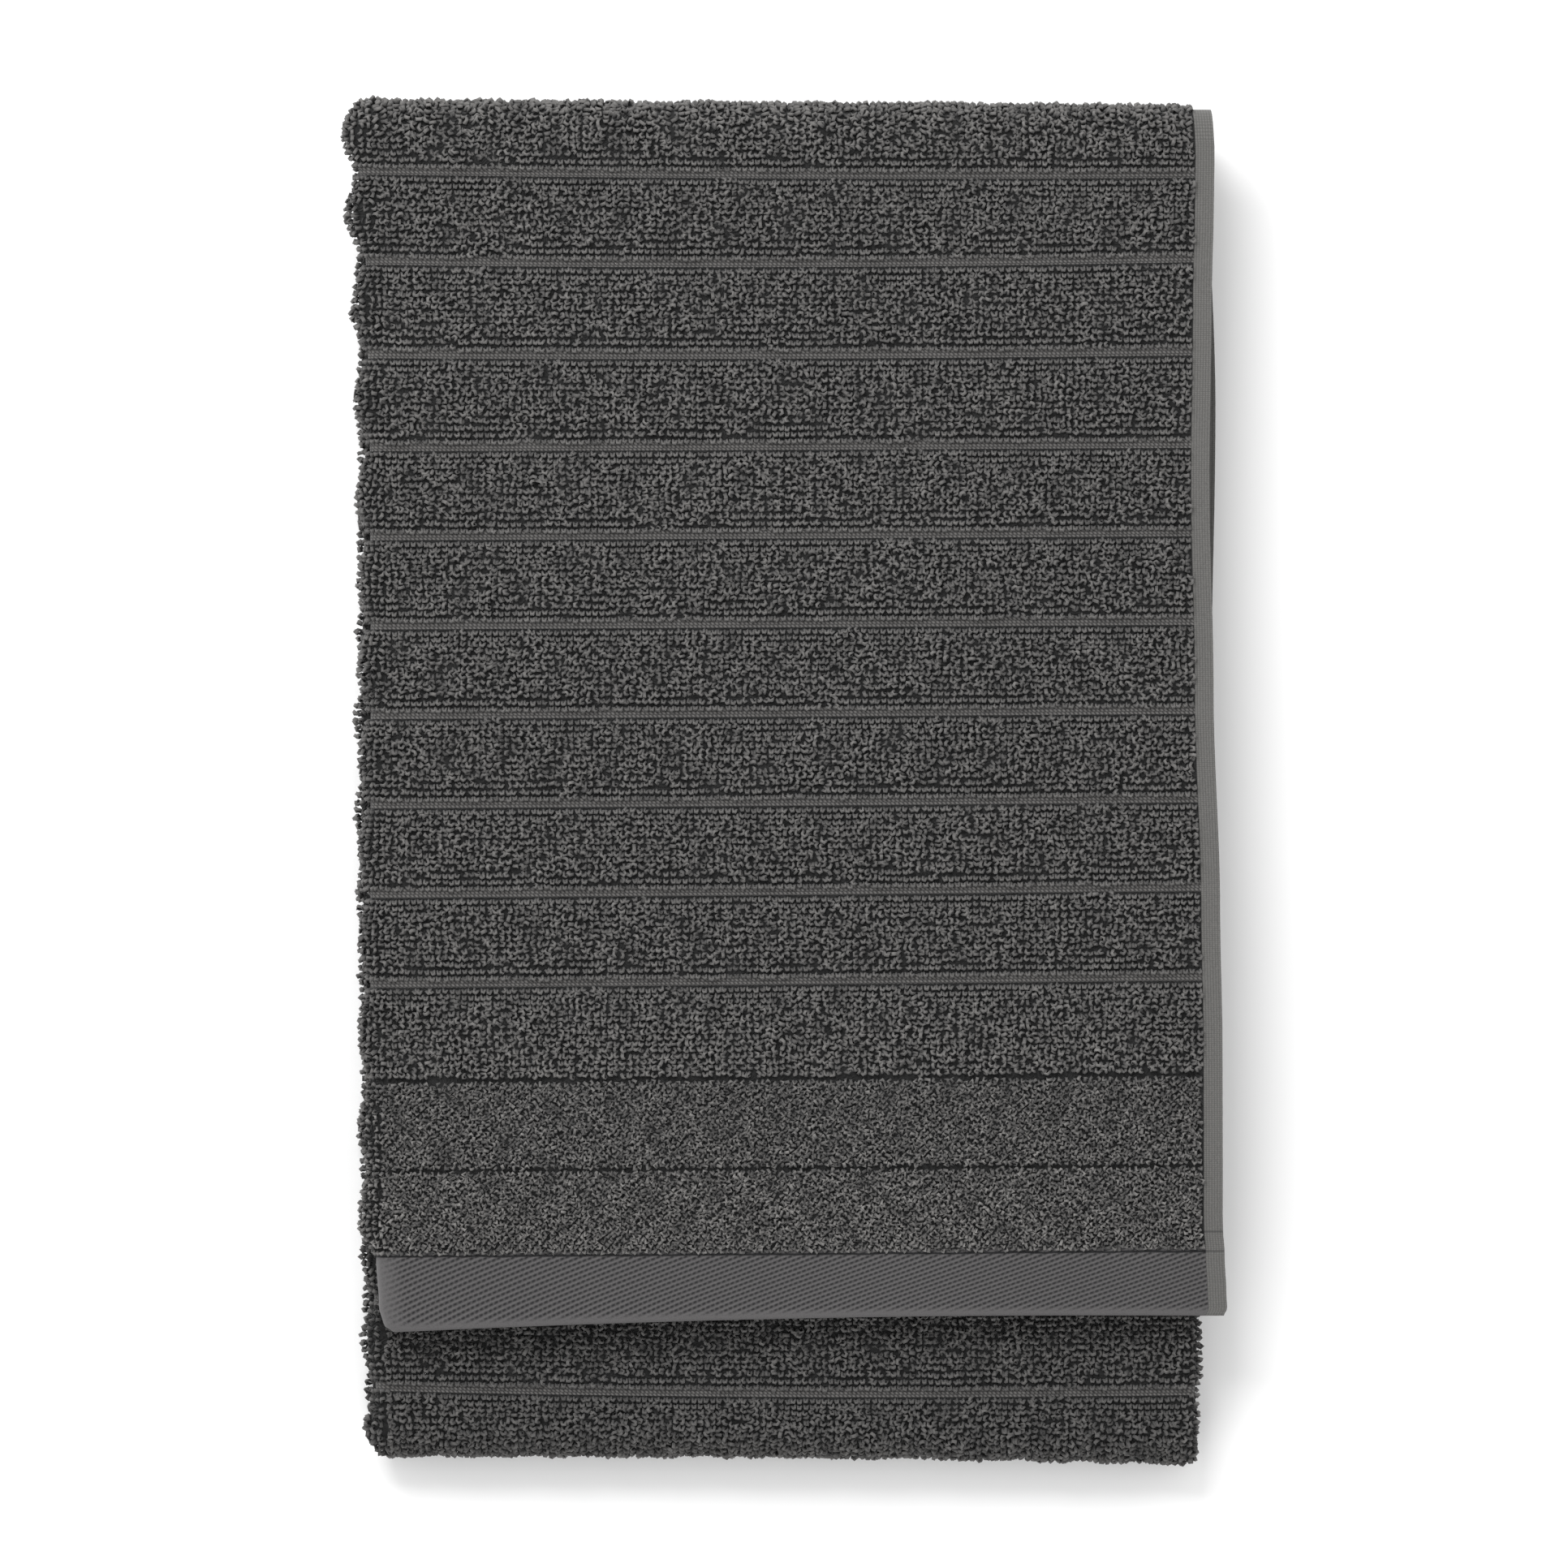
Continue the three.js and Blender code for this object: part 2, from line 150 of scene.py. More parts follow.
ROWS = [
    (0, -2.7, 1.2, 2.0),
    (20, -1.0, -0.3, 0.5),
    (96, -0.9, 0, 1.1),
    (196, -1.1, -0.5, 0.2),
    (246, -1.4, -1.1, -0.5),
    (296, 0.5, -0.2, 1.2),
    (321, 0.6, -0.5, -0.3),
    (338, 0, -0.8, -1.6),
    (430, 0, 0, 0),
    (640, 0, 0, 0),
    (695, 1.2, -0.4, 0.1),
    (715, 2.2, 2.0, 0.1),
    (800, 0, 0, 0),
    (1040, 0, 0, 0),
    (1093, -1.8, -0.4, 0),
    (CLOTH_LENGTH, 0.8, -1.2, 1.4),
]


def smooth(t):
    s = np.clip(t, 0.0, 1.0)
    return s * s * (3 - 2 * s)


def eased_tables(rows, names):
    """A function for each column, which eases from row to row along the cloth."""
    table = np.array(rows, dtype=float)
    places = table[:, 0]

    def reader(values):
        def at(along):
            low = np.clip(np.searchsorted(places, along) - 1, 0, len(places) - 2)
            t = smooth((along - places[low]) / (places[low + 1] - places[low]))
            return values[low] + (values[low + 1] - values[low]) * t

        return at

    return {name: reader(table[:, k]) for k, name in enumerate(names) if k}


edge_at = eased_tables(EDGES, EDGE_COLUMNS)
row_at = eased_tables(ROWS, ROW_COLUMNS)
print("left fold at the first ribs:", np.round(edge_at["fold"](RIBS[:4]), 1))


# %% Distances to the woven details
def to_rib(along):
    index = np.clip(np.round((along - FIRST_RIB) / RIB_PITCH), 0, RIB_COUNT - 1)
    return np.abs(along - FIRST_RIB - index * RIB_PITCH)


def from_end(along):
    return np.minimum(along, CLOTH_LENGTH - along)


def to_groove(along):
    return np.min([np.abs(from_end(along) - place) for place in GROOVES], axis=0)


# %% Fold the lengthwise section
def chosen(zones, *values):
    """The value of the first zone that fits, or else the last value."""
    return np.select(zones, values[:-1], values[-1])


def section_point(across, along, offset):
    """The place x across the bundle and h along the strip's normal, for any point of the cloth."""
    drawn = DRAWN_IN * edge_at["drawn"](along)
    bend = edge_at["fold"](along) + drawn + STRIP_HALF
    turn = edge_at["turn"](along) - LAYER_PITCH / 2 - PILE_HALF
    selvedge = edge_at["selvedge"](along)
    gap = np.minimum(to_rib(along), to_groove(along))
    swell = np.where(offset > 0, drawn * smooth(2 * gap / RIB_PITCH), 0.0)

    left = (across - FRONT_PANEL) / LAYER_PITCH
    left_radius = LAYER_PITCH + offset
    right = 2 * (across - TURN_START) / LAYER_PITCH
    right_radius = LAYER_PITCH / 2 + offset
    tucked_end = bend + TUCKED_EDGE_ROOM
    zones = [across <= FRONT_PANEL, across < MIDDLE_START, across <= TURN_START, across < TURN_END]
    x = chosen(
        zones,
        selvedge + (bend - selvedge) * across / FRONT_PANEL,
        bend - (left_radius + swell) * np.sin(left),
        bend + (turn - bend) * (across - MIDDLE_START) / MIDDLE_PANEL,
        turn + right_radius * np.sin(right),
        turn + (tucked_end - turn) * (across - TURN_END) / TUCKED_PANEL,
    )
    h = chosen(
        zones,
        LAYER_PITCH + offset,
        left_radius * np.cos(left),
        -LAYER_PITCH - offset,
        -LAYER_PITCH / 2 - right_radius * np.cos(right),
        offset,
    )
    return x, h


# %% Lead the strip through its crosswise runs
def sag_at(y):
    return SAG * smooth((y - SAG_START_Y) / (SAG_END_Y - SAG_START_Y))


def way_point(along):
    """The strip's middle (y, z) and its normal (ny, nz) at each place along the cloth."""
    top = math.pi * (along - TOP_START) / TOP_TURN_CLOTH
    bottom = (along - BOTTOM_START) / BOTTOM_TURN_RADIUS
    back = (along - BACK_START) / TURN_RADIUS
    front_y = HEM_Y + along
    second_y = TOP_Y - (along - TOP_END)
    zones = [zone for start, end in TURNS for zone in (along <= start, along < end)]
    ny = chosen(zones, 0, np.sin(top), 0, np.sin(bottom), 0, -np.sin(back), 0)
    nz = chosen(zones, 1, np.cos(top), -1, -np.cos(bottom), 1, np.cos(back), -1)
    y = chosen(
        zones,
        front_y,
        TOP_Y + TURN_RADIUS * ny,
        second_y,
        BOTTOM_Y - BOTTOM_TURN_RADIUS * ny,
        BOTTOM_Y + along - BOTTOM_END,
        BACK_TOP_Y - TURN_RADIUS * ny,
        BACK_TOP_Y - (along - BACK_END),
    )
    z = chosen(
        zones,
        FRONT_LEVEL - sag_at(front_y),
        FRONT_LEVEL - TURN_RADIUS * (1 - nz),
        SECOND_LEVEL - sag_at(second_y),
        BACK_LEVEL + BOTTOM_TURN_RADIUS * (1 - nz),
        BACK_LEVEL,
        BACK_LEVEL + TURN_RADIUS * (1 - nz),
        TUCKED_LEVEL,
    )
    return y, z, ny, nz


# %% Take any point of the flat cloth to the bundle
SELVEDGE_HALF = 0.6
MEASURED_COLUMNS = 700
MEASURED_ROWS = 2800


def row_shift(x, along):
    side = np.clip(x / ROW_SIDE, -1, 1)
    left, middle, right = (row_at[name](along) for name in ROW_COLUMNS[1:])
    return middle + (right - left) / 2 * side + ((right + left) / 2 - middle) * side * side


def unplaced(across, along, offset):
    across, along, offset = np.broadcast_arrays(across, along, offset)
    x, h = section_point(across, along, offset)
    y, z, ny, nz = way_point(along)
    y = y + ny * h
    z = (z + nz * h) * (1 - CROWN_SIDE * (x / HALF_WIDTH) ** 2 - CROWN_END * (y / HALF_LENGTH) ** 2)
    return np.stack([x, y + row_shift(x, along), z], axis=-1)


def middle_of_bundle():
    """The middle of the whole bundle, which the frame puts over its origin."""
    across = np.linspace(0, CLOTH_WIDTH, MEASURED_COLUMNS)[:, None]
    along = np.linspace(0, CLOTH_LENGTH, MEASURED_ROWS)[None, :]
    half = np.where(across < SELVEDGE_WIDTH, SELVEDGE_HALF, PILE_HALF)
    points = unplaced(across, along, half).reshape(-1, 3)
    low, high = points.min(axis=0), points.max(axis=0)
    return np.array([(low[0] + high[0]) / 2, (low[1] + high[1]) / 2, low[2]])


BUNDLE_MIDDLE = middle_of_bundle()


def folded(across, along, offset):
    """Points of the folded cloth in metres, offset from its middle towards its outer face."""
    return (unplaced(across, along, offset) - BUNDLE_MIDDLE) * MM


print("the frame's origin lies at", np.round(BUNDLE_MIDDLE, 2), "mm of the folding function")

# %% [markdown]
# ## The woven ground
# Under the loops a towel is a plain woven cloth, which shows in the ribs, the hem, the seam and
# the selvedges. It could be a plane with the Solidify and Displace modifiers, but then the folds
# would have to be painted in. Here a bmesh grid is thickened flat, its rows and columns move to
# where the weave changes, and the folding function lays it in the bundle. Its UV map keeps the
# flat cloth for the weave patterns.

# %% Where the ground needs rows and columns
RIB_FLOOR = 1.3
RIB_SHOULDER = 2.2
GROOVE_REACH = 1.6
HEM_ROWS = (0, 0.25, 0.7, 1.4, 2.4, 6, 10, 14, 17, 18.6, 19.2, 20, 20.8, 21.6, 24, 30, 36, 56, 82)
BAND_ROWS = (0.32, 0.68)
CLOSEST_ROWS = 0.3
TURN_STEPS = 10
SELVEDGE_COLUMNS = (0, 0.3, 1.5, 2.8, 4.1, 5.3, 6.0)
PANEL_STEPS = (14, 8, 13, 7, 4)


def between(start, end, steps):
    return start + (end - start) * np.arange(1, steps) / steps


def ground_rows():
    """Places along the cloth, closer together at the hem, the ribs and the turns."""
    hem = list(HEM_ROWS)
    hem += [place + step for place in GROOVES for step in (-GROOVE_REACH, 0, GROOVE_REACH)]
    rows = hem + [CLOTH_LENGTH - place for place in hem]
    for rib in RIBS:
        rows += [rib - RIB_SHOULDER, rib - RIB_FLOOR, rib + RIB_FLOOR, rib + RIB_SHOULDER]
    for rib in RIBS[:-1]:
        rows += list(rib + RIB_PITCH * np.array(BAND_ROWS))
    for start, end in TURNS:
        rows += [start, *between(start, end, TURN_STEPS), end]
    rows = sorted(rows)
    kept = [rows[0]]
    for place in rows[1:]:
        if place - kept[-1] >= CLOSEST_ROWS or place == rows[-1]:
            kept.append(place)
    return np.array(kept)


def ground_columns():
    """Places across the cloth, closer together at the selvedges and the two bends."""
    inner = CLOTH_WIDTH - SELVEDGE_COLUMNS[-1]
    stops = (SELVEDGE_COLUMNS[-1], FRONT_PANEL, MIDDLE_START, TURN_START, TURN_END, inner)
    columns = list(SELVEDGE_COLUMNS)
    for start, end, steps in zip(stops, stops[1:], PANEL_STEPS):
        columns += [*between(start, end, steps), end]
    columns += [CLOTH_WIDTH - place for place in reversed(SELVEDGE_COLUMNS[:-1])]
    return np.array(columns)


row_places = ground_rows()
column_places = ground_columns()
print(len(column_places), "columns and", len(row_places), "rows in the ground")


# %% How high each part of the ground stands
GROUND_HALF = 0.6
BARE_PILE_HALF = 1.45
INNER_HALF = 1.35
RIB_HALF = 0.5
GROOVE_HALF = 0.3
HEM_HALF = 1.0
HEM_EDGE_HALF = 0.6
HEM_ROUND = 1.4
SEAM_HALF = 0.6
SELVEDGE_LIP = 0.2
LOOPED_FRONT = TOP_END + 6
LOOPED_LOW_RUN = (668.0, BOTTOM_END + 4)
LOOPED_BACK = (BACK_START - 4, BACK_END + 2)


def looped(across, along):
    """Where loops stand on the outer face, so that the ground beneath them lies lower."""
    front = (across <= FRONT_PANEL) & (along < LOOPED_FRONT)
    bends = (across > FRONT_PANEL) & (across < MIDDLE_START)
    bends |= (across > TURN_START) & (across < TURN_END)
    middle = (across >= MIDDLE_START) & (across <= TURN_START)
    shown = (along > LOOPED_LOW_RUN[0]) & (along < LOOPED_LOW_RUN[1])
    shown |= (along > LOOPED_BACK[0]) & (along < LOOPED_BACK[1])
    return front | bends | (middle & shown)


def outer_half(across, along):
    """How far the outer face lies from the middle of the cloth."""
    end = from_end(along)
    pile = np.where(looped(across, along), GROUND_HALF, BARE_PILE_HALF)
    rib = smooth((to_rib(along) - RIB_FLOOR) / (RIB_SHOULDER - RIB_FLOOR))
    groove = smooth(to_groove(along) / GROOVE_REACH)
    half = RIB_HALF + (pile - RIB_HALF) * rib
    half = np.minimum(half, GROOVE_HALF + (pile - GROOVE_HALF) * groove)
    edge = HEM_EDGE_HALF + (HEM_HALF - HEM_EDGE_HALF) * smooth(end / HEM_ROUND)
    seam = SEAM_HALF + (edge - SEAM_HALF) * smooth(np.abs(end - HEM_DEPTH) / SEAM_WIDTH)
    half = np.where(end < HEM_DEPTH, seam, half)
    half = np.where((end >= HEM_DEPTH) & (end < HEM_DEPTH + SEAM_WIDTH), SEAM_HALF, half)
    side = np.minimum(across, CLOTH_WIDTH - across)
    return np.where(side < SELVEDGE_WIDTH + SELVEDGE_LIP, SELVEDGE_HALF, half)


# %% Make the ground
def lattice_index(values, count):
    return np.rint((values + 0.5) * count).astype(int)


def woven_ground():
    bm = bmesh.new()
    columns, rows = len(column_places) - 1, len(row_places) - 1
    bmesh.ops.create_grid(bm, x_segments=columns, y_segments=rows, size=0.5)
    bmesh.ops.solidify(bm, geom=bm.faces[:], thickness=0.1)
    bmesh.ops.recalc_face_normals(bm, faces=bm.faces[:])
    mesh = bpy.data.meshes.new("towel_cloth")
    bm.to_mesh(mesh)
    bm.free()

    flat = np.empty(len(mesh.vertices) * 3)
    mesh.vertices.foreach_get("co", flat)
    flat = flat.reshape(-1, 3)
    across = column_places[lattice_index(flat[:, 0], columns)]
    along = row_places[lattice_index(flat[:, 1], rows)]
    outer = flat[:, 2] > flat[:, 2].mean()
    half = outer_half(across, along)
    offset = np.where(outer, half, -np.minimum(half, INNER_HALF))
    mesh.vertices.foreach_set("co", folded(across, along, offset).ravel())
    return mesh, across, along, outer


ground_mesh, ground_across, ground_along, ground_outer = woven_ground()
print("ground faces:", len(ground_mesh.polygons))

# %% [markdown]
# ## One strand of yarn
# A terry loop is a cotton yarn that leaves the ground, turns over and goes back in. Particle hair
# or bevelled curves would give it, but hair isn't a mesh, and tens of thousands of curves are
# slow. So bmesh makes one straight strand with three sides and pointed ends, in two dozen faces,
# and arrays bend a copy of it for every loop. A strand with one ring less makes the fine pile
# beside the hem and the pile of the folds. The station of a point is the number of its ring along
# the strand.

# %% A straight strand
STRAND_SIDES = 3
CAP_FACING = 0.9


def straight_strand(rings):
    """The points, faces and stations of a straight strand, and the station of its far tip."""
    bm = bmesh.new()
    depth = rings - 1
    sides = {"segments": STRAND_SIDES, "radius1": 1, "radius2": 1}
    bmesh.ops.create_cone(bm, cap_ends=True, depth=depth, **sides)
    for ring in range(1, depth):
        cut = (0, 0, ring - depth / 2)
        everything = [*bm.verts, *bm.edges, *bm.faces]
        bmesh.ops.bisect_plane(bm, geom=everything, plane_co=cut, plane_no=(0, 0, 1))
    caps = [face for face in bm.faces if abs(face.normal.z) > CAP_FACING]
    for tip in bmesh.ops.poke(bm, faces=caps)["verts"]:
        tip.co.z *= (rings + 1) / depth
    bmesh.ops.triangulate(bm, faces=bm.faces[:])
    bmesh.ops.recalc_face_normals(bm, faces=bm.faces[:])
    bm.verts.index_update()
    points = np.array([vert.co[:] for vert in bm.verts])
    faces = np.array([[vert.index for vert in face.verts] for face in bm.faces])
    bm.free()
    station = np.rint(points[:, 2] + (rings + 1) / 2).astype(int)
    return {"points": points, "faces": faces, "station": station, "last": rings + 1}


# %% [markdown]
# ## A map for the strands
# A piece that is baked to a picture needs a map in which no two faces share a place. Smart
# unwrapping of so many small tubes is slow. Here each strand gets one cell of a square grid, and
# in the cell it lies unrolled: round it to the right, along it up.

# %% Unroll each strand into a cell
CELL_FILL = 0.86
TIP_RADIUS = 0.5


def unrolled(strand):
    """The place of each face corner of one strand in its cell, from 0 to 1 both ways."""
    points = strand["points"]
    turns = np.arctan2(points[:, 1], points[:, 0]) / (2 * math.pi)
    side = np.rint(turns * STRAND_SIDES) % STRAND_SIDES
    tip = np.hypot(points[:, 0], points[:, 1]) < TIP_RADIUS
    corners = []
    for face in strand["faces"]:
        round_it = {k: side[k] for k in face if not tip[k]}
        if max(round_it.values()) - min(round_it.values()) > 1:
            round_it = {k: place or STRAND_SIDES for k, place in round_it.items()}
        middle = sum(round_it.values()) / len(round_it)
        for k in face:
            up = strand["station"][k] / strand["last"]
            corners.append((round_it.get(k, middle) / STRAND_SIDES, up))
    return np.array(corners)


def strand_map(strand, count):
    cells = math.ceil(math.sqrt(count))
    index = np.arange(count)
    cell = np.stack([index % cells, index // cells], axis=1)[:, None, :]
    inside = (1 - CELL_FILL) / 2 + CELL_FILL * strand["corners"][None, :, :]
    return ((cell + inside) / cells).reshape(-1, 2)


round_strand = straight_strand(4)
short_strand = straight_strand(3)
for strand in (round_strand, short_strand):
    strand["corners"] = unrolled(strand)
    print("a strand has", len(strand["points"]), "points and", len(strand["faces"]), "faces")


# %% Bend copies of a strand along many centre lines
def unit(vectors):
    return vectors / np.linalg.norm(vectors, axis=-1, keepdims=True)


def bent_strands(strand, centres, plane_normal, radius):
    """One strand for each centre line, which lies in the plane of that normal."""
    flat = plane_normal[:, None, :]
    side = np.cross(unit(np.gradient(centres, axis=1)), flat)
    station = strand["station"]
    thick = radius[:, None, None]
    round_x = strand["points"][None, :, 0, None] * thick * flat
    round_y = strand["points"][None, :, 1, None] * thick * side[:, station]
    return centres[:, station] + round_x + round_y


def put_in_scene(name, data):
    made = bpy.data.objects.new(name, data)
    bpy.context.collection.objects.link(made)
    return made


def add_map(mesh, name, corners):
    mesh.uv_layers.new(name=name).data.foreach_set("uv", corners.ravel())


def strand_piece(name, strand, points, dye_and_painted_light, material):
    count = len(points)
    first = len(strand["points"]) * np.arange(count)[:, None, None]
    faces = (strand["faces"][None] + first).reshape(-1, 3)
    mesh = bpy.data.meshes.new(name)
    mesh.from_pydata(points.reshape(-1, 3).tolist(), [], faces.tolist())
    mesh.shade_smooth()
    # Each point's lightness: the yarn's dye, with painted light and shade.
    attribute = mesh.attributes.new("dye_and_painted_light", "FLOAT", "POINT")
    attribute.data.foreach_set("value", dye_and_painted_light.ravel())
    add_map(mesh, "OFBake", strand_map(strand, count))
    mesh.materials.append(material)
    piece = put_in_scene(name, mesh)
    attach(piece, "root")
    print(f"{name}: {count} strands, {len(faces)} faces")
    return piece


# %% [markdown]
# ## Where the loops stand
# On the loom the loops stand in rows 1.75 mm apart both ways, and a wash then tumbles them:
# beside a rib they keep their rows, in the middle of a band they fall any way. Scattering points
# at random would lose the rows. So the loops start on a lattice that follows the surface, also
# where a bend stretches it, and each one then strays further the further it stands from a rib.
# Two grooves beside each hem stay free of loops.

# %% Rows and columns of loops, evenly spaced on the folded surface
LOOP_PITCH = 1.75
WIDE_PITCH = 2.15
RIB_MARGIN = 1.85
GROOVE_MARGINS = (0.95, 1.35)
PILE_START = HEM_DEPTH + 0.7
SELVEDGE_MARGIN = 0.9
SURFACE_STEP = 0.1
MEASURED_ROW = 500.0


def path_length(points):
    steps = np.linalg.norm(np.diff(points, axis=0), axis=1) / MM
    return np.concatenate([[0], np.cumsum(steps)])


def surface_along():
    """Length on the outermost face from the hem: the front panel's, then the middle panel's."""
    along = np.arange(0, CLOTH_LENGTH, SURFACE_STEP)
    front = path_length(folded(FRONT_PANEL / 2, along, PILE_HALF))
    middle = path_length(folded(MIDDLE_START + MIDDLE_PANEL / 2, along, PILE_HALF))
    turn = np.searchsorted(along, TOP_END)
    length = np.where(along < TOP_END, front, middle - middle[turn] + front[turn])
    return along, length


def spaced(places, length, start, end, pitch):
    """Places from start to end, a pitch apart as measured on the surface."""
    first, last = np.interp([start, end], places, length)
    steps = max(1, round((last - first) / pitch))
    return np.interp(np.linspace(first, last, steps + 1), length, places)


def loop_rows(pitch):
    along, length = surface_along()
    first_stops = [(PILE_START, 0), *zip(GROOVES, GROOVE_MARGINS)]
    stops = first_stops + [(rib, RIB_MARGIN) for rib in RIBS]
    stops += [(CLOTH_LENGTH - place, margin) for place, margin in reversed(first_stops)]
    rows = []
    for (start, before), (end, after) in zip(stops, stops[1:]):
        rows.append(spaced(along, length, start + before, end - after, pitch))
    return np.concatenate(rows)


def loop_columns(pitch):
    across = np.arange(0, TURN_END, SURFACE_STEP)
    length = path_length(folded(across, MEASURED_ROW, PILE_HALF))
    return spaced(across, length, SELVEDGE_WIDTH + SELVEDGE_MARGIN, TURN_END, pitch)


places = {pitch: (loop_rows(pitch), loop_columns(pitch)) for pitch in (LOOP_PITCH, WIDE_PITCH)}
for pitch, (rows, columns) in places.items():
    print(f"{len(rows)} rows and {len(columns)} columns of loops {pitch} mm apart")


# %% Soft waves that neighbours share
WAVE_STRETCH = (1.2, 3.2)


def soft_waves(seed, size, count=9):
    """A smooth random function of the flat cloth, about 1 high, with humps of about that size."""
    dice = np.random.default_rng(seed)
    angle = dice.uniform(0, 2 * math.pi, count)
    pitch = 2 * math.pi / (size * dice.uniform(*WAVE_STRETCH, count))
    phase = dice.uniform(0, 2 * math.pi, count)

    def at(across, along):
        total = np.zeros(np.shape(across))
        for turn, rate, start in zip(angle, pitch, phase):
            total += np.sin(rate * (across * math.cos(turn) + along * math.sin(turn)) + start)
        return total * math.sqrt(2 / count)

    return at


drift_across = soft_waves(11, 3.2)
drift_along = soft_waves(12, 2.6)
swirl = soft_waves(13, 5.0)
height_waves = soft_waves(14, 7.0)
order_waves = soft_waves(15, 9.0)
clump_waves = soft_waves(16, 5.0)
crack_waves = soft_waves(17, 1.7)


# %% [markdown]
# ## Raising the loops
# Seen from above, a loop is a small cup whose round end points down the towel. Copies of one
# shape would all look the same, so each loop has its own numbers: where it stands, which way it
# leans and how steeply, how long and wide it is and how far it has rolled over. Beside a rib they
# hardly vary. Near the hem the yarn is looser and finer, stands two loops to a place and hangs
# over the seam.

# %% The shape of every loop
# Each point along a loop: how far beside its middle line in widths, how far up it in lengths, and
# how light it is painted. The shade of the pile is painted in: a foot goes straight down into the
# ground, so it is painted at no light, and the crown a little above the yarn's grey.
LOOP_SHAPES = {
    5: {"side": [-0.3, -0.5, -0.32, 0.32, 0.5, 0.3], "rise": [0, 0.35, 0.95, 0.95, 0.35, 0]},
    4: {"side": [-0.15, -0.5, 0.0, 0.5, 0.15], "rise": [-0.1, 0.35, 0.9, 0.35, -0.1]},
}
LOOP_PAINTED_SHADE = {5: [0.0, 0.42, 1.06, 1.06, 0.42, 0.0], 4: [0.0, 0.42, 1.1, 0.42, 0.0]}
FRAME_STEP = 0.05
FRAME_OFFSETS = (0.9, 1.0, 1.1)
BASE_OFFSET = 0.01


def dot(first, second):
    return np.sum(first * second, axis=-1, keepdims=True)


def surface_frame(across, along):
    """The point on the middle of the cloth, and the directions across, along and outwards there."""
    below, level, above = FRAME_OFFSETS
    base = folded(across, along, BASE_OFFSET)
    sideways = folded(across + FRAME_STEP, along, level) - folded(across - FRAME_STEP, along, level)
    outward = unit(folded(across, along, above) - folded(across, along, below))
    sideways = unit(sideways - outward * dot(sideways, outward))
    forward = np.cross(outward, sideways)
    ahead = folded(across, along + FRAME_STEP, level) - folded(across, along - FRAME_STEP, level)
    return base, sideways, forward * np.sign(dot(forward, ahead)), outward


# %% How orderly and how loose the loops of a place are
NEAR_HEM = 96.0
LOOSE_HEM = 74.0
LOOSE_FADE = 12.0
ORDER_REACH = 2.2
ORDER_WANDER = 1.3
ORDER_FADE = 4.0


def manner_at(across, along):
    """Order is 1 in the rows beside a rib, and loose is 1 near the hem."""
    end = from_end(along)
    rib = to_rib(along)
    to_edge = np.where(end < NEAR_HEM, rib, np.minimum(rib, to_groove(along)))
    past = to_edge - ORDER_REACH + ORDER_WANDER * order_waves(across, along)
    loose = smooth((LOOSE_HEM - end) / LOOSE_FADE)
    return {
        "end": end,
        "to_edge": to_edge,
        "order": (1 - smooth(past / ORDER_FADE)) * (1 - loose),
        "loose": loose,
        "clump": clump_waves(across, along),
    }


# %% How far a loop strays from its place
STRAY_IN_ROW = 0.1
STRAY_IN_BAND = 0.12
SHARED_DRIFT = 0.45
OWN_DRIFT = 0.7


def strayed(across, along, order, dice):
    stray = STRAY_IN_ROW + STRAY_IN_BAND * (1 - order)

    def moved(place, drift):
        own = dice.normal(0, OWN_DRIFT, len(place))
        return place + stray * (SHARED_DRIFT * drift(across, along) + own)

    across = moved(across, drift_across)
    along = moved(along, drift_along)
    return across, along


# %% The numbers of each loop
# A pair holds the range of a loop in its row, then that of one that fell any way in a band.
YARN_RADIUS = 0.54
RADIUS_RANGE = (0.88, 1.12)
LENGTHS = ((1.15, 1.5), (1.2, 1.9))
WIDTHS = ((0.9, 1.2), (1.05, 1.7))
SHORTER_IF_LOOSE = (0.0, 0.3)
FINER_IF_LOOSE = 0.1
LONGER_IN_CLUMP = 0.05
WIDER_IN_CLUMP = 0.04
STEEP_IN_ROW = 40
STEEP_IN_BAND = (8, 50)
STEEP_IF_LOOSE = (5, 50)
STEEPER_IF_PROUD = 20
TURN_IN_ROW = 0.28
ROLLS = (0.2, 0.4)
HANG_REACH = HEM_DEPTH + 9
HANG_FADE = 6.0
HANG_STRAIGHT = 0.6


def drawn_size(ranges, order, dice):
    in_row, in_band = (dice.uniform(low, high, len(order)) for low, high in ranges)
    return order * in_row + (1 - order) * in_band


def loop_numbers(across, along, here, proud, dice):
    """The turn, steepness, roll, length, width and radius of each loop."""
    count = len(across)
    order, loose = here["order"], here["loose"]
    wild = dice.normal(0, 1, count)
    hanging = smooth((HANG_REACH - here["end"]) / HANG_FADE)
    swirled = (1 - order) * (swirl(across, along) + (1.0 + loose) * wild)
    turn = swirled * (1 - HANG_STRAIGHT * hanging)
    turn += TURN_IN_ROW * order * wild

    in_band = dice.uniform(*STEEP_IN_BAND, count)
    steep = np.radians(STEEP_IN_ROW * order + (1 - order) * in_band)
    steep = steep * (1 - loose) + loose * np.radians(dice.uniform(*STEEP_IF_LOOSE, count))
    steep = steep + proud * np.radians(STEEPER_IF_PROUD)

    long = drawn_size(LENGTHS, order, dice)
    long -= loose * dice.uniform(*SHORTER_IF_LOOSE, count)
    long *= 1 + LONGER_IN_CLUMP * here["clump"]
    wide = drawn_size(WIDTHS, order, dice)
    wide *= (1 - FINER_IF_LOOSE * loose) * (1 + WIDER_IN_CLUMP * here["clump"])
    roll = dice.normal(0, 1, count) * (ROLLS[0] + ROLLS[1] * (1 - order))
    radius = YARN_RADIUS * dice.uniform(*RADIUS_RANGE, count) * (1 - FINER_IF_LOOSE * loose)
    sizes = {"long": long, "wide": wide, "radius": radius}
    return {"turn": turn, "steep": steep, "roll": roll, **sizes}


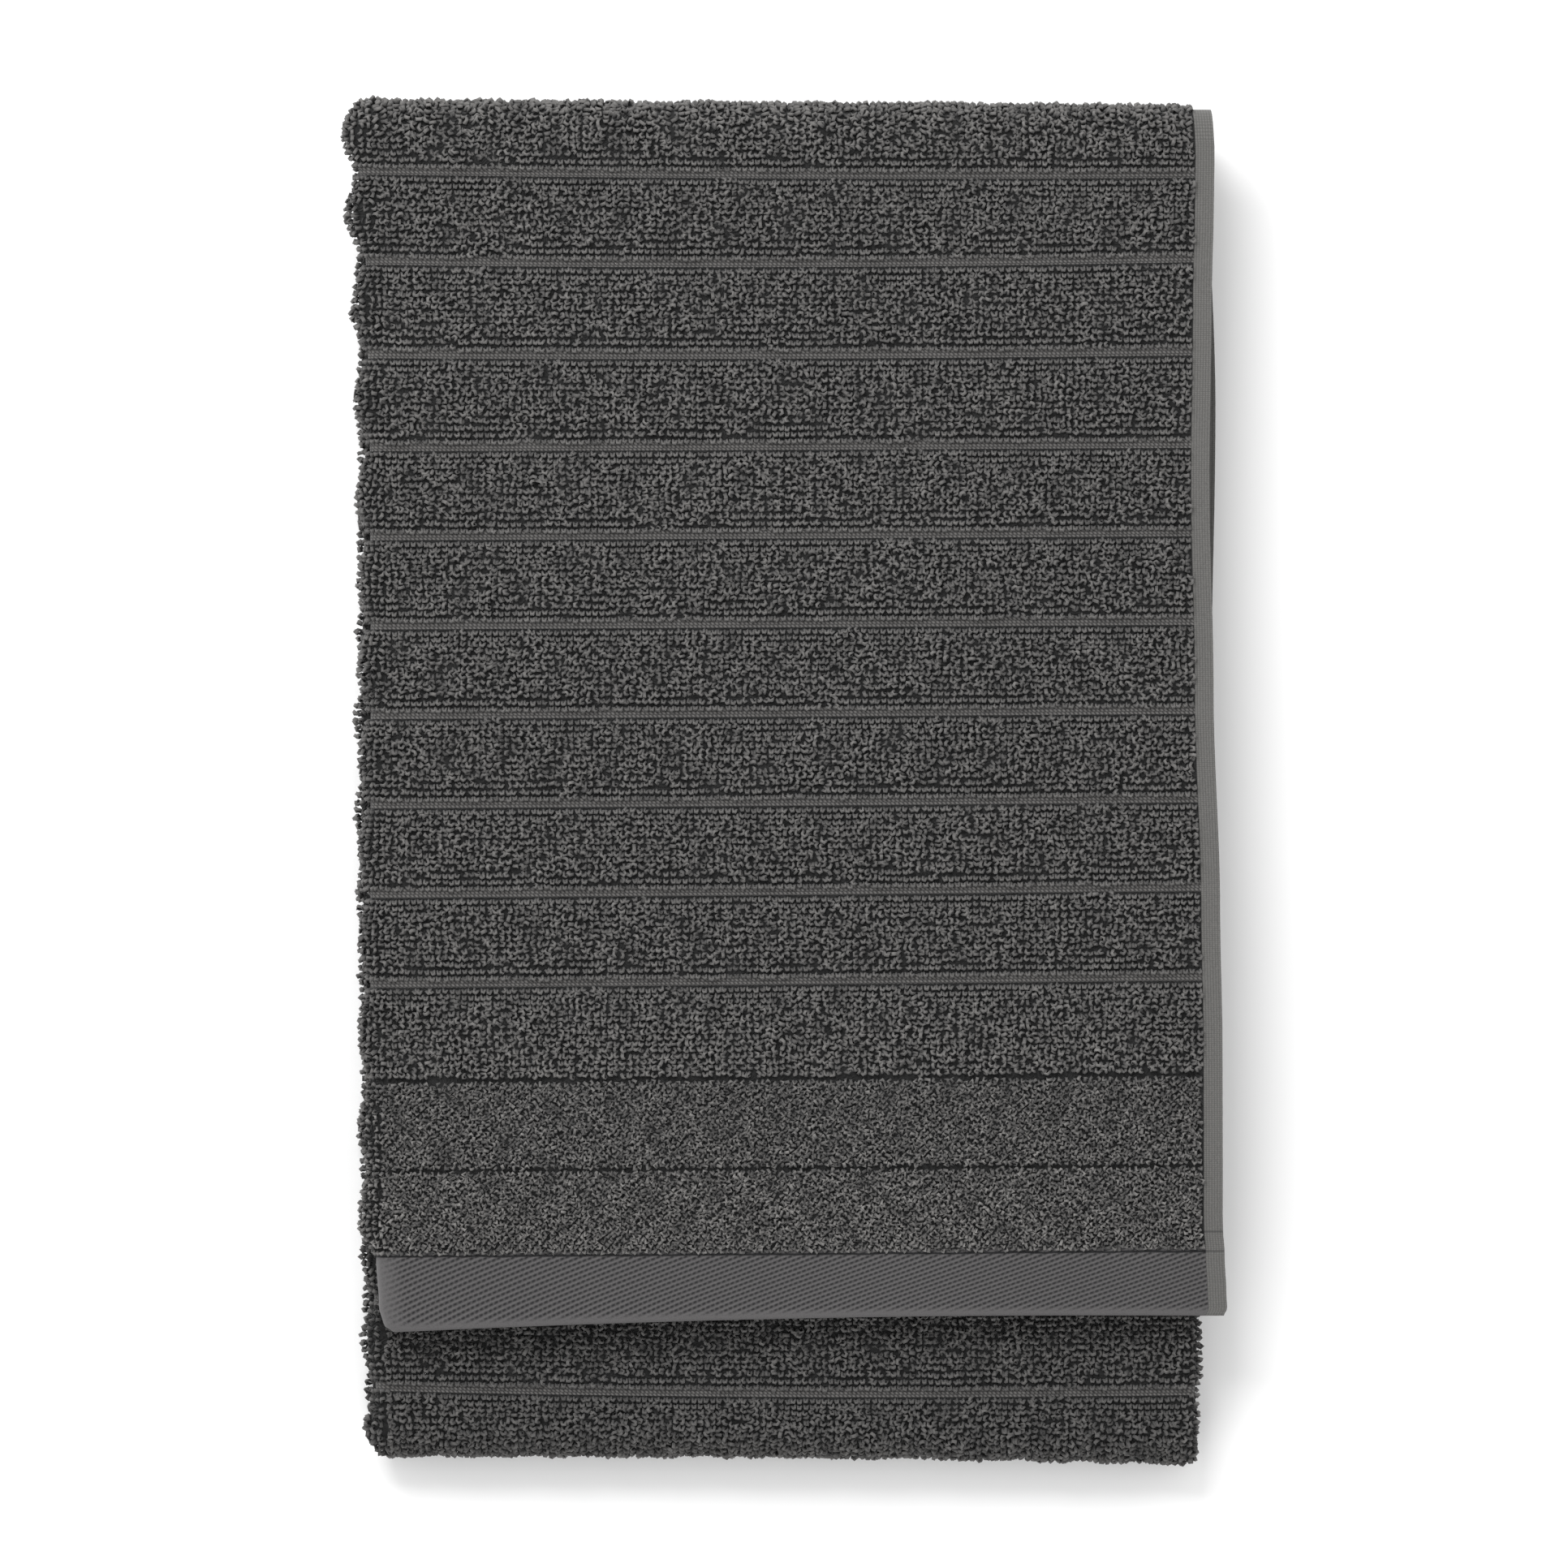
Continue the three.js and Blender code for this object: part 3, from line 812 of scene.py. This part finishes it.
def loop_ways(across, along, loop, down):
    """Where each loop stands, which way it leans and rises, and the way across it."""
    base, sideways, forward, outward = surface_frame(across, along)
    turn, steep, roll = (loop[name][:, None] for name in ("turn", "steep", "roll"))
    lean = down * np.cos(turn) * forward + np.sin(turn) * sideways
    beside = np.cross(lean, outward)
    rise = np.cos(steep) * lean + np.sin(steep) * outward
    over = np.cross(rise, beside)
    beside = np.cos(roll) * beside + np.sin(roll) * over
    return {"base": base, "outward": outward, "lean": lean, "rise": rise, "beside": beside}


# %% The centre line of each loop
FOOT_LEVEL = 0.0
FOOT_IF_LOOSE = 0.4
ROOT_LEVEL = 0.7
PROUD_LEVEL = 0.25
PROUD_REACH = 1.5
PROUD_FADE = 5.0
LEVEL_WAVES = 0.12
LEVEL_CLUMPS = 0.1
HIGHEST_CLUMP = 0.4
SKEW = 0.3
STEP_BACK = 0.5


def loop_levels(across, along, here, count, proud):
    """How high each point of a loop starts: the feet in the ground, the rest on the backing."""
    full = smooth((here["to_edge"] - PROUD_REACH) / PROUD_FADE)
    level = np.repeat((ROOT_LEVEL + PROUD_LEVEL * proud * full)[:, None], count, axis=1)
    clump = LEVEL_CLUMPS * np.minimum(here["clump"], HIGHEST_CLUMP)
    level += (LEVEL_WAVES * height_waves(across, along) + clump)[:, None]
    level[:, [0, -1]] = FOOT_LEVEL + FOOT_IF_LOOSE * here["loose"][:, None]
    return level


def centre_lines(level, here, loop, ways, shape, dice):
    def along_way(amount, name):
        return amount[:, :, None] * MM * ways[name][:, None, :]

    skew = dice.normal(0, SKEW, len(level)) * (1 - here["order"])
    beside = np.outer(loop["wide"], shape["side"]) + np.outer(skew, shape["rise"])
    back = STEP_BACK * (1 - here["order"]) * loop["long"] * np.cos(loop["steep"])
    points = ways["base"][:, None, :] + along_way(level, "outward")
    points = points + along_way(beside, "beside")
    points = points + along_way(np.outer(loop["long"], shape["rise"]), "rise")
    return points - along_way(back[:, None], "lean")


# %% How light each loop is: its dye, and painted light and shade
# Each yarn's dye differs a little at random. The rest is painted light and shade: yarn in a hollow
# or a crack lies in painted shade, loose yarn beside the hem gets painted light, and the run below
# the hem a painted shadow.
LIGHT_SPREAD = 0.1
LOOSE_SPREAD = 0.03
CLUMP_PAINTED_SHADE = 0.14
LIGHTEST_CLUMP = 0.6
CRACK_PAINTED_SHADE = 0.28
CRACK_RANGE = (-1.6, 0.4)
HEM_PAINTED_LIGHT = 0.42
UNDER_HEM_PAINTED_SHADOW = 0.23
UNDER_HEM_PLACE = 690.0
UNDER_HEM_REACH = 60.0


def loop_dye_and_painted_light(across, along, here, dice):
    loose = here["loose"]
    light = dice.normal(1.0, LIGHT_SPREAD + LOOSE_SPREAD * loose)
    # Painted shade in the hollows between clumps, and a little painted light on their tops.
    light = light * (1 + CLUMP_PAINTED_SHADE * np.minimum(here["clump"], LIGHTEST_CLUMP))
    # Painted shade in the cracks of the loose pile beside the hem.
    light *= 1 + CRACK_PAINTED_SHADE * loose * np.clip(crack_waves(across, along), *CRACK_RANGE)
    # Painted light that grows towards the hem.
    light *= 1 + HEM_PAINTED_LIGHT * smooth((NEAR_HEM - here["end"]) / (NEAR_HEM - HEM_DEPTH))
    # A painted shadow over the run below the hem.
    painted_shadow_under_hem = (np.abs(along - UNDER_HEM_PLACE) < UNDER_HEM_REACH) & (across > FRONT_PANEL)
    return light * (1 - UNDER_HEM_PAINTED_SHADOW * painted_shadow_under_hem)


# %% Raise the loops of a patch
def raise_loops(strand, across, along, down, dice, proud):
    """The points and tones of the loops. down is -1 where they point back to the hem, or 1."""
    here = manner_at(across, along)
    across, along = strayed(across, along, here["order"], dice)
    shape = LOOP_SHAPES[strand["last"]]
    loop = loop_numbers(across, along, here, proud, dice)
    ways = loop_ways(across, along, loop, down)
    level = loop_levels(across, along, here, strand["last"] + 1, proud)
    centres = centre_lines(level, here, loop, ways, shape, dice)
    plane_normal = np.cross(ways["beside"], ways["rise"])
    points = bent_strands(strand, centres, plane_normal, loop["radius"] * MM)
    # Painted shade along each loop: no light at the feet, a little above the yarn's grey at the
    # crown.
    shade = np.array(LOOP_PAINTED_SHADE[strand["last"]])[strand["station"]]
    dye_and_painted_light = loop_dye_and_painted_light(across, along, here, dice)[:, None] * shade[None, :]
    return points, dye_and_painted_light


# %% [markdown]
# ## Yarn
# The yarn is a dull grey cotton. Each yarn took the dye a little differently. The shade of the
# pile is painted into the yarn's colour as well: the foot of a loop, hollows and cracks get painted
# shade, loose loops beside the hem painted light, and the run below the hem a painted shadow. A
# picture could be painted for that, but the mesh can carry it as a point attribute, which stays
# sharp at any distance. Noise adds the cloudy patches of a washed towel and the fibres of the yarn.
# A little sheen stands for the fuzz that is too fine to model.

# %% A short way to build node materials
COTTON_SPECULAR = 0.2
SHEEN_ROUGHNESS = 0.6
PATCH_SIZE = 0.05
FIBRE_SIZE = 0.0004


def new_material(name, roughness, sheen):
    material = bpy.data.materials.new(name)
    material.use_nodes = True
    shader = material.node_tree.nodes["Principled BSDF"]
    shader.inputs["Roughness"].default_value = roughness
    shader.inputs["Specular IOR Level"].default_value = COTTON_SPECULAR
    shader.inputs["Sheen Weight"].default_value = sheen
    shader.inputs["Sheen Roughness"].default_value = SHEEN_ROUGHNESS
    return material, shader


def node(tree, kind, *values, settings=None, **named):
    """Adds a node. An input given as a socket is linked, and any other value is set."""
    made = tree.nodes.new("ShaderNode" + kind)
    for key, value in (settings or {}).items():
        setattr(made, key, value)
    for key, value in [*enumerate(values), *named.items()]:
        if isinstance(value, bpy.types.NodeSocket):
            tree.links.new(value, made.inputs[key])
        else:
            made.inputs[key].default_value = value
    return made


def maths(tree, operation, first, second=0.0, third=0.0):
    settings = {"operation": operation}
    return node(tree, "Math", first, second, third, settings=settings).outputs[0]


def times(tree, first, *others):
    for other in others:
        first = maths(tree, "MULTIPLY", first, other)
    return first


def noise(tree, place, size, detail=2.0):
    """Noise from 0 to 1, with grains about size wide in the units of the place."""
    return node(tree, "TexNoise", place, Scale=1 / size, Detail=detail).outputs["Fac"]


def about_one(tree, value, swing):
    """Turns a value from 0 to 1 into a factor that is 1 in its middle."""
    return maths(tree, "MULTIPLY_ADD", value, swing, 1 - swing / 2)


def mottled(tree, amount, patch_swing, fibre_swing):
    """The amount with cloudy patches and fine fibres in it, and the fibres themselves."""
    place = node(tree, "TexCoord").outputs["Object"]
    patches = about_one(tree, noise(tree, place, PATCH_SIZE), patch_swing)
    fibres = noise(tree, place, FIBRE_SIZE)
    grain = about_one(tree, fibres, fibre_swing)
    return times(tree, amount, patches, grain), fibres


def finish_surface(tree, shader, colour_amount, dark, light, height, depth, clamp=True):
    """Mixes the colour, and gives the surface its fine relief."""
    settings = {"data_type": "RGBA", "clamp_factor": clamp}
    # The dark colour is painted shade: at the feet of the loops, and in the gaps between threads.
    mix = node(tree, "Mix", settings=settings, Factor=colour_amount, A=dark, B=light)
    tree.links.new(mix.outputs["Result"], shader.inputs["Base Color"])
    bump = node(tree, "Bump", Strength=1.0, Distance=depth, Height=height)
    tree.links.new(bump.outputs["Normal"], shader.inputs["Normal"])


# %% The grey of the yarn
YARN_GREY = (0.127, 0.123, 0.119, 1.0)
# The painted shade that the yarn darkens to at the feet of the loops and in hollows.
PAINTED_SHADE_GREY = (0.012, 0.012, 0.013, 1.0)
YARN_ROUGHNESS = 0.9
YARN_SHEEN = 0.12
YARN_PATCHES = 0.22
YARN_FIBRES = 0.5
FIBRE_DEPTH = 0.00006


def yarn_material():
    material, shader = new_material("cotton_yarn", YARN_ROUGHNESS, YARN_SHEEN)
    tree = material.node_tree
    # The attribute holds the dye and the painted light and shade; at 0 the colour is the painted
    # shade grey.
    dye_and_painted_light = node(tree, "Attribute", settings={"attribute_name": "dye_and_painted_light"}).outputs["Fac"]
    light, fibres = mottled(tree, dye_and_painted_light, YARN_PATCHES, YARN_FIBRES)
    finish_surface(tree, shader, light, PAINTED_SHADE_GREY, YARN_GREY, fibres, FIBRE_DEPTH, clamp=False)
    return material


yarn = yarn_material()

# %% [markdown]
# ## The patches of pile
# Loops on the hidden faces would only cost time, so they stand where the towel is seen: on the
# front panel, over the top turn, on the run below the hem, round both lengthwise bends and on the
# back turn. One mesh of them all would be too large for some tools, so they are joined in patches
# that meet at the ribs. Where loops are seen end on, or less, the lattice is wider and the strand
# shorter.

# %% Choose which places of the lattice show
def lattice(row_range, column_range, pitch, doubled):
    """The crossings of the rows and columns within these places, and between them if doubled."""
    rows, columns = places[pitch]
    rows = rows[(rows >= row_range[0]) & (rows < row_range[1])]
    columns = columns[(columns >= column_range[0]) & (columns < column_range[1])]
    along, across = (grid.ravel() for grid in np.meshgrid(rows, columns, indexing="ij"))
    if doubled:
        between_them = to_groove(along + pitch / 2) > GROOVE_MARGINS[0]
        across = np.concatenate([across, across[between_them] + pitch / 2])
        along = np.concatenate([along, along[between_them] + pitch / 2])
    return across, along


# %% The patches of pile
FRONT = (0.0, FRONT_PANEL)
LEFT = (FRONT_PANEL, MIDDLE_START)
MIDDLE = (MIDDLE_START, TURN_START)
RIGHT = (TURN_START, TURN_END + 1)
FAR_PILE_END = CLOTH_LENGTH - PILE_START
LOW_RUN = (BOTTOM_START - 32.0, BOTTOM_END)
BACK_RUN = (BACK_START - 3, BACK_END)
FRONT_STOPS = (PILE_START, *GROOVES, FIRST_RIB, 172.0, 247.0, TOP_START - 8.0, TOP_END)
DOUBLED_PATCHES = ("hem_band_pile_1", "hem_band_pile_2")
TOWARDS_HEM, FROM_HEM = -1, 1

patches = []
names = [f"{band}_pile_{k}" for band in ("hem_band", "front") for k in (1, 2, 3)]
for name, rows in zip([*names, "top_turn_pile"], zip(FRONT_STOPS, FRONT_STOPS[1:])):
    strand = short_strand if name in DOUBLED_PATCHES else round_strand
    patches.append((name, strand, rows, FRONT, TOWARDS_HEM, LOOP_PITCH))
left_rows = (PILE_START, TOP_END, BOTTOM_START, FAR_PILE_END)
patches += [
    ("lower_run_pile", round_strand, LOW_RUN, MIDDLE, FROM_HEM, LOOP_PITCH),
    ("back_turn_pile", short_strand, BACK_RUN, MIDDLE, FROM_HEM, WIDE_PITCH),
    ("left_fold_pile_1", short_strand, left_rows[0:2], LEFT, TOWARDS_HEM, LOOP_PITCH),
    ("left_fold_pile_2", short_strand, left_rows[1:3], LEFT, TOWARDS_HEM, WIDE_PITCH),
    ("left_fold_pile_3", short_strand, left_rows[2:4], LEFT, FROM_HEM, WIDE_PITCH),
    ("right_fold_pile", short_strand, (PILE_START, FAR_PILE_END), RIGHT, TOWARDS_HEM, WIDE_PITCH),
]
print(len(patches), "patches of pile")

# %% Build the pile
FIRST_PILE_SEED = 100
PROUD_ON_FOLDS = 1.0
PROUD_ON_TURNS = 0.15

for number, (name, strand, row_range, column_range, down, pitch) in enumerate(patches):
    dice = np.random.default_rng(FIRST_PILE_SEED + number)
    across, along = lattice(row_range, column_range, pitch, name in DOUBLED_PATCHES)
    proud = PROUD_ON_FOLDS if "fold" in name else PROUD_ON_TURNS * (along > TOP_START)
    points, dye_and_painted_light = raise_loops(strand, across, along, down, dice, proud)
    strand_piece(name, strand, points, dye_and_painted_light, yarn)

# %% [markdown]
# ## Weaves on the ground
# Each smooth part of the towel has its own weave: the hem a twill whose lines climb to the right,
# the ribs a finer twill that falls to the right, and the selvedge a plain weave with lines down
# its length. At 0.3 mm deep they are too fine for geometry on so large a cloth, and a picture of
# a weave would blur close by. The flat map gives the place of each thread, so a few maths nodes
# draw every weave as a height, which sets both the bump and the painted shade in the gaps between
# threads. Between and under the loops the ground gets two plainer patterns, and under the loops
# it is painted near black as the shade of the pile.

# %% Weave helpers
def flat_place(tree):
    """Places across and along the flat cloth in millimetres, read from the flat map."""
    uv = node(tree, "UVMap", settings={"uv_map": "flat_cloth"}).outputs["UV"]
    split = node(tree, "SeparateXYZ", uv)
    across = maths(tree, "DIVIDE", split.outputs["X"], MM)
    along = maths(tree, "DIVIDE", split.outputs["Y"], MM)
    return across, along


def ridge(tree, place, pitch, sharp=1.0):
    """A rounded ridge in each pitch: 0 in the gap and 1 on the ridge."""
    wave = maths(tree, "SINE", times(tree, place, math.pi / pitch))
    return maths(tree, "POWER", maths(tree, "ABSOLUTE", wave), sharp)


def away_from(tree, value, place):
    return maths(tree, "ABSOLUTE", maths(tree, "SUBTRACT", value, place))


def ramp(tree, value, start, end, low=0.0, high=1.0):
    """Goes from low to high as the value goes from start to end."""
    return node(tree, "MapRange", value, start, end, low, high).outputs[0]


# %% The finish of every weave
WEAVE_ROUGHNESS = 0.85
WEAVE_SHEEN = 0.1
WEAVE_PATCHES = 0.16
WEAVE_FIBRES = 1.0
FIBRE_RELIEF = 0.15


def woven_material(name, height_of, light, dark, depth):
    material, shader = new_material(name, WEAVE_ROUGHNESS, WEAVE_SHEEN)
    tree = material.node_tree
    height = height_of(tree, *flat_place(tree))
    # The colour follows the height, so the low places of a weave get painted shade.
    amount, fibres = mottled(tree, height, WEAVE_PATCHES, WEAVE_FIBRES)
    relief = maths(tree, "MULTIPLY_ADD", fibres, FIBRE_RELIEF, height)
    finish_surface(tree, shader, amount, dark, light, relief, depth)
    return material


# %% The twill of the hem
HEM_SLOPE = math.tan(math.radians(21))
HEM_LINE = 1.43
HEM_LINE_SHARP = 1.8
HEM_DASH = 1.47
HEM_DASH_SHARP = 0.8
HEM_DASH_DEPTH = 0.6
HEM_STAGGER = 0.38
HEM_PLAIN_EDGE = (1.2, 2.8)
HEM_PLAIN_END = (231.0, 238.0)
SEAM_LINE = 19.6
SEAM_FURROW = (0.12, 0.4)
SEAM_WAVE = 9.0
SEAM_WANDER = 0.9


def hem_height(tree, across, along):
    """Lines of short dashes of painted shade between the floats, none on the turned edge and the
    left end.
    """
    climb = maths(tree, "MULTIPLY_ADD", across, HEM_SLOPE, along)
    line = maths(tree, "SUBTRACT", 1.0, ridge(tree, climb, HEM_LINE, HEM_LINE_SHARP))
    row = maths(tree, "ROUND", maths(tree, "DIVIDE", climb, HEM_LINE))
    shifted = maths(tree, "MULTIPLY_ADD", row, HEM_STAGGER * HEM_DASH, across)
    dash = ridge(tree, shifted, HEM_DASH, HEM_DASH_SHARP)
    dash = maths(tree, "MULTIPLY_ADD", dash, HEM_DASH_DEPTH, 1 - HEM_DASH_DEPTH)
    edge = ramp(tree, along, *HEM_PLAIN_EDGE)
    end = ramp(tree, across, *HEM_PLAIN_END, 1.0, 0.0)
    gap = times(tree, line, dash, edge, end)
    twill = maths(tree, "SUBTRACT", 1.0, gap)
    return times(tree, twill, seam_furrow(tree, across, along))


def seam_furrow(tree, across, along):
    """The seam's furrow of painted shade, which wanders a little because hanging loops cover part
    of it.
    """
    place = node(tree, "CombineXYZ", X=across).outputs[0]
    waves = noise(tree, place, SEAM_WAVE)
    wander = maths(tree, "MULTIPLY_ADD", waves, SEAM_WANDER, -SEAM_WANDER / 2)
    wavy = maths(tree, "ADD", along, wander)
    return ramp(tree, away_from(tree, wavy, SEAM_LINE), *SEAM_FURROW)


# %% The twill of the ribs and the weave of the selvedge
RIB_LINE = 1.2
RIB_LINE_SHARP = 1.4
RIB_FALL = 0.6
RIB_ROW = 0.83
TIER_SHARP = 0.5
SELVEDGE_WARP = 0.76
SELVEDGE_WARP_SHARP = 0.7
SELVEDGE_WEFT = 0.55
SELVEDGE_DEPTH = 0.6
SELVEDGE_FURROW = (0.05, 0.45)
PAINTED_FURROW_LIGHT = 0.35
SECOND_SEAM = SEAM_LINE + 5.5


def rib_height(tree, across, along):
    """Short floats that fall to the right, each row half a float beside the last."""
    row = maths(tree, "FLOOR", maths(tree, "DIVIDE", along, RIB_ROW))
    shifted = maths(tree, "MULTIPLY_ADD", row, 0.5 * RIB_LINE, across)
    fall = maths(tree, "MULTIPLY_ADD", along, -RIB_FALL, shifted)
    floats = ridge(tree, fall, RIB_LINE, RIB_LINE_SHARP)
    return times(tree, floats, ridge(tree, along, RIB_ROW, TIER_SHARP))


def selvedge_height(tree, across, along):
    """A plain weave, with painted shadow in the furrow beside the pile and in two seams near the
    hem.
    """
    warp = ridge(tree, across, SELVEDGE_WARP, SELVEDGE_WARP_SHARP)
    weft = ridge(tree, along, SELVEDGE_WEFT, TIER_SHARP)
    crossing = times(tree, warp, weft)
    weave = maths(tree, "MULTIPLY_ADD", crossing, SELVEDGE_DEPTH, 1 - SELVEDGE_DEPTH)
    for value, place in ((across, SELVEDGE_WIDTH), (along, SEAM_LINE), (along, SECOND_SEAM)):
        # Painted shadow of the loops in the furrow beside the pile, and painted shade in the two
        # seams.
        furrow = ramp(tree, away_from(tree, value, place), *SELVEDGE_FURROW, PAINTED_FURROW_LIGHT)
        weave = times(tree, weave, furrow)
    return weave


# %% The ground between loops, and the pile on hidden faces
PILE_SHARP = 0.7
CURL_SIZE = 2.2
CURL_STEP = 0.2
CURL_SHARP = 0.9


def ground_height(tree, across, along):
    """The contour lines of a noise curl about like the loops that lie too deep to model."""
    place = node(tree, "CombineXYZ", X=across, Y=along).outputs[0]
    hills = noise(tree, place, CURL_SIZE, 0.0)
    return ridge(tree, hills, CURL_STEP, CURL_SHARP)


def pile_height(tree, across, along):
    """Rows of humps, as many as there are loops, with painted shade between them."""
    humps = (ridge(tree, place, LOOP_PITCH, PILE_SHARP) for place in (across, along))
    return times(tree, *humps)


# %% The materials of the ground
# Each weave: its height, its thread colour, the painted shade of its gaps, and its bump depth.
GROUND_WEAVES = {
    # Painted shade: the ground under the loops is painted near black, as the shade of the pile.
    "painted_shade_ground": (ground_height, (0.012, 0.012, 0.012, 1), (0.001, 0.001, 0.001, 1), 0.0006),
    "rib_twill": (rib_height, (0.140, 0.135, 0.130, 1), (0.030, 0.029, 0.029, 1), 0.0002),
    "hem_twill": (hem_height, (0.096, 0.092, 0.093, 1), (0.008, 0.008, 0.009, 1), 0.00025),
    "selvedge_weave": (selvedge_height, (0.136, 0.133, 0.127, 1), (0.03, 0.03, 0.03, 1), 0.0001),
    "bare_pile": (pile_height, (0.085, 0.082, 0.080, 1), (0.02, 0.02, 0.02, 1), 0.0007),
}
ground_materials = [woven_material(name, *look) for name, look in GROUND_WEAVES.items()]
print("weaves:", ", ".join(GROUND_WEAVES))

# %% Give each face of the ground its weave, and its two maps
HEM_MATERIAL_REACH = HEM_DEPTH + 0.8
OUTER_FACE = 0.9


def zone_of(across, along, outer):
    """The number of the ground's material at a place: the last rule that fits decides."""
    number = {name: k for k, name in enumerate(GROUND_WEAVES)}
    side = np.minimum(across, CLOTH_WIDTH - across)
    rules = {
        # The ground under the loops gets the painted shade of the pile.
        "painted_shade_ground": outer & looped(across, along),
        "rib_twill": to_rib(along) < RIB_FLOOR,
        "hem_twill": from_end(along) < HEM_MATERIAL_REACH,
        "selvedge_weave": side < SELVEDGE_WIDTH,
    }
    zone = np.full(across.shape, number["bare_pile"])
    for name, where in rules.items():
        zone[where] = number[name]
    return zone


def corner_values(mesh, values):
    index = np.empty(len(mesh.loops), dtype=int)
    mesh.loops.foreach_get("vertex_index", index)
    return values[index]


def finish_ground(mesh):
    across = corner_values(mesh, ground_across)
    along = corner_values(mesh, ground_along)
    outer = corner_values(mesh, ground_outer.astype(float))
    face_of = [values.reshape(-1, 4).mean(axis=1) for values in (across, along, outer)]
    zone = zone_of(face_of[0], face_of[1], face_of[2] > OUTER_FACE)
    for material in ground_materials:
        mesh.materials.append(material)
    mesh.polygons.foreach_set("material_index", zone)
    add_map(mesh, "flat_cloth", np.stack([across, along], axis=1) * MM)
    beside = 0.5 * across / CLOTH_WIDTH + np.where(outer > 0.5, 0.0, 0.5)
    add_map(mesh, "OFBake", np.stack([beside, along / CLOTH_LENGTH], axis=1))
    mesh.shade_smooth()


finish_ground(ground_mesh)
cloth = put_in_scene("towel_cloth", ground_mesh)
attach(cloth, "root")
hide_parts("bath_towel")

# %% [markdown]
# ## Floor, camera and light
# The photo looks straight down from far above, so the camera does the same with a long lens: a
# wide lens close by would show the sides of the bundle. The floor is plain and pale. The light is
# soft: a bright sky all round fills the pile, and one large panel above the top fold, a little to
# the left, gives the loops their small shadows.

# %% The floor
FLOOR_GREY = (0.97, 0.97, 0.97, 1)
FLOOR_HALF = 1.5
FLOOR_ROUGHNESS = 0.9


def pale_floor():
    bm = bmesh.new()
    bmesh.ops.create_grid(bm, x_segments=1, y_segments=1, size=FLOOR_HALF)
    mesh = bpy.data.meshes.new("floor")
    bm.to_mesh(mesh)
    bm.free()
    material, shader = new_material("pale_floor", FLOOR_ROUGHNESS, 0.0)
    shader.inputs["Base Color"].default_value = FLOOR_GREY
    mesh.materials.append(material)
    put_in_scene("floor", mesh)


pale_floor()
print("floor", 2 * FLOOR_HALF, "m wide")

# %% The camera
FRAME_WIDTH = 436.1
CAMERA_LENS = 300.0
SENSOR = 36.0
TOWEL_TOP = 41.0


def overhead_camera():
    data = bpy.data.cameras.new("camera")
    data.lens = CAMERA_LENS
    data.sensor_width = SENSOR
    camera = put_in_scene("camera", data)
    height = TOWEL_TOP + FRAME_WIDTH * CAMERA_LENS / SENSOR
    x, y, _ = -BUNDLE_MIDDLE
    camera.location = (x * MM, y * MM, height * MM)
    bpy.context.scene.camera = camera
    print(f"camera {camera.location.z:.2f} m above the floor")


overhead_camera()

# %% The light
SKY_STRENGTH = 1.0
PANEL_SIZE = (1.0, 0.7)
PANEL_WATTS = 20
PANEL_PLACE = (-0.5, 1.0, 1.4)
PANEL_TILT = (math.radians(-36), math.radians(-16), 0)


def soft_light():
    world = bpy.data.worlds.new("studio")
    world.use_nodes = True
    sky = world.node_tree.nodes["Background"]
    sky.inputs["Color"].default_value = (1, 1, 1, 1)
    sky.inputs["Strength"].default_value = SKY_STRENGTH
    bpy.context.scene.world = world
    data = bpy.data.lights.new("panel", "AREA")
    data.shape = "RECTANGLE"
    data.size, data.size_y = PANEL_SIZE
    data.energy = PANEL_WATTS
    panel = put_in_scene("panel", data)
    panel.location = PANEL_PLACE
    panel.rotation_euler = PANEL_TILT


soft_light()
bpy.context.scene.view_settings.view_transform = "Standard"
print("sky", SKY_STRENGTH, "and a panel of", PANEL_WATTS, "W")
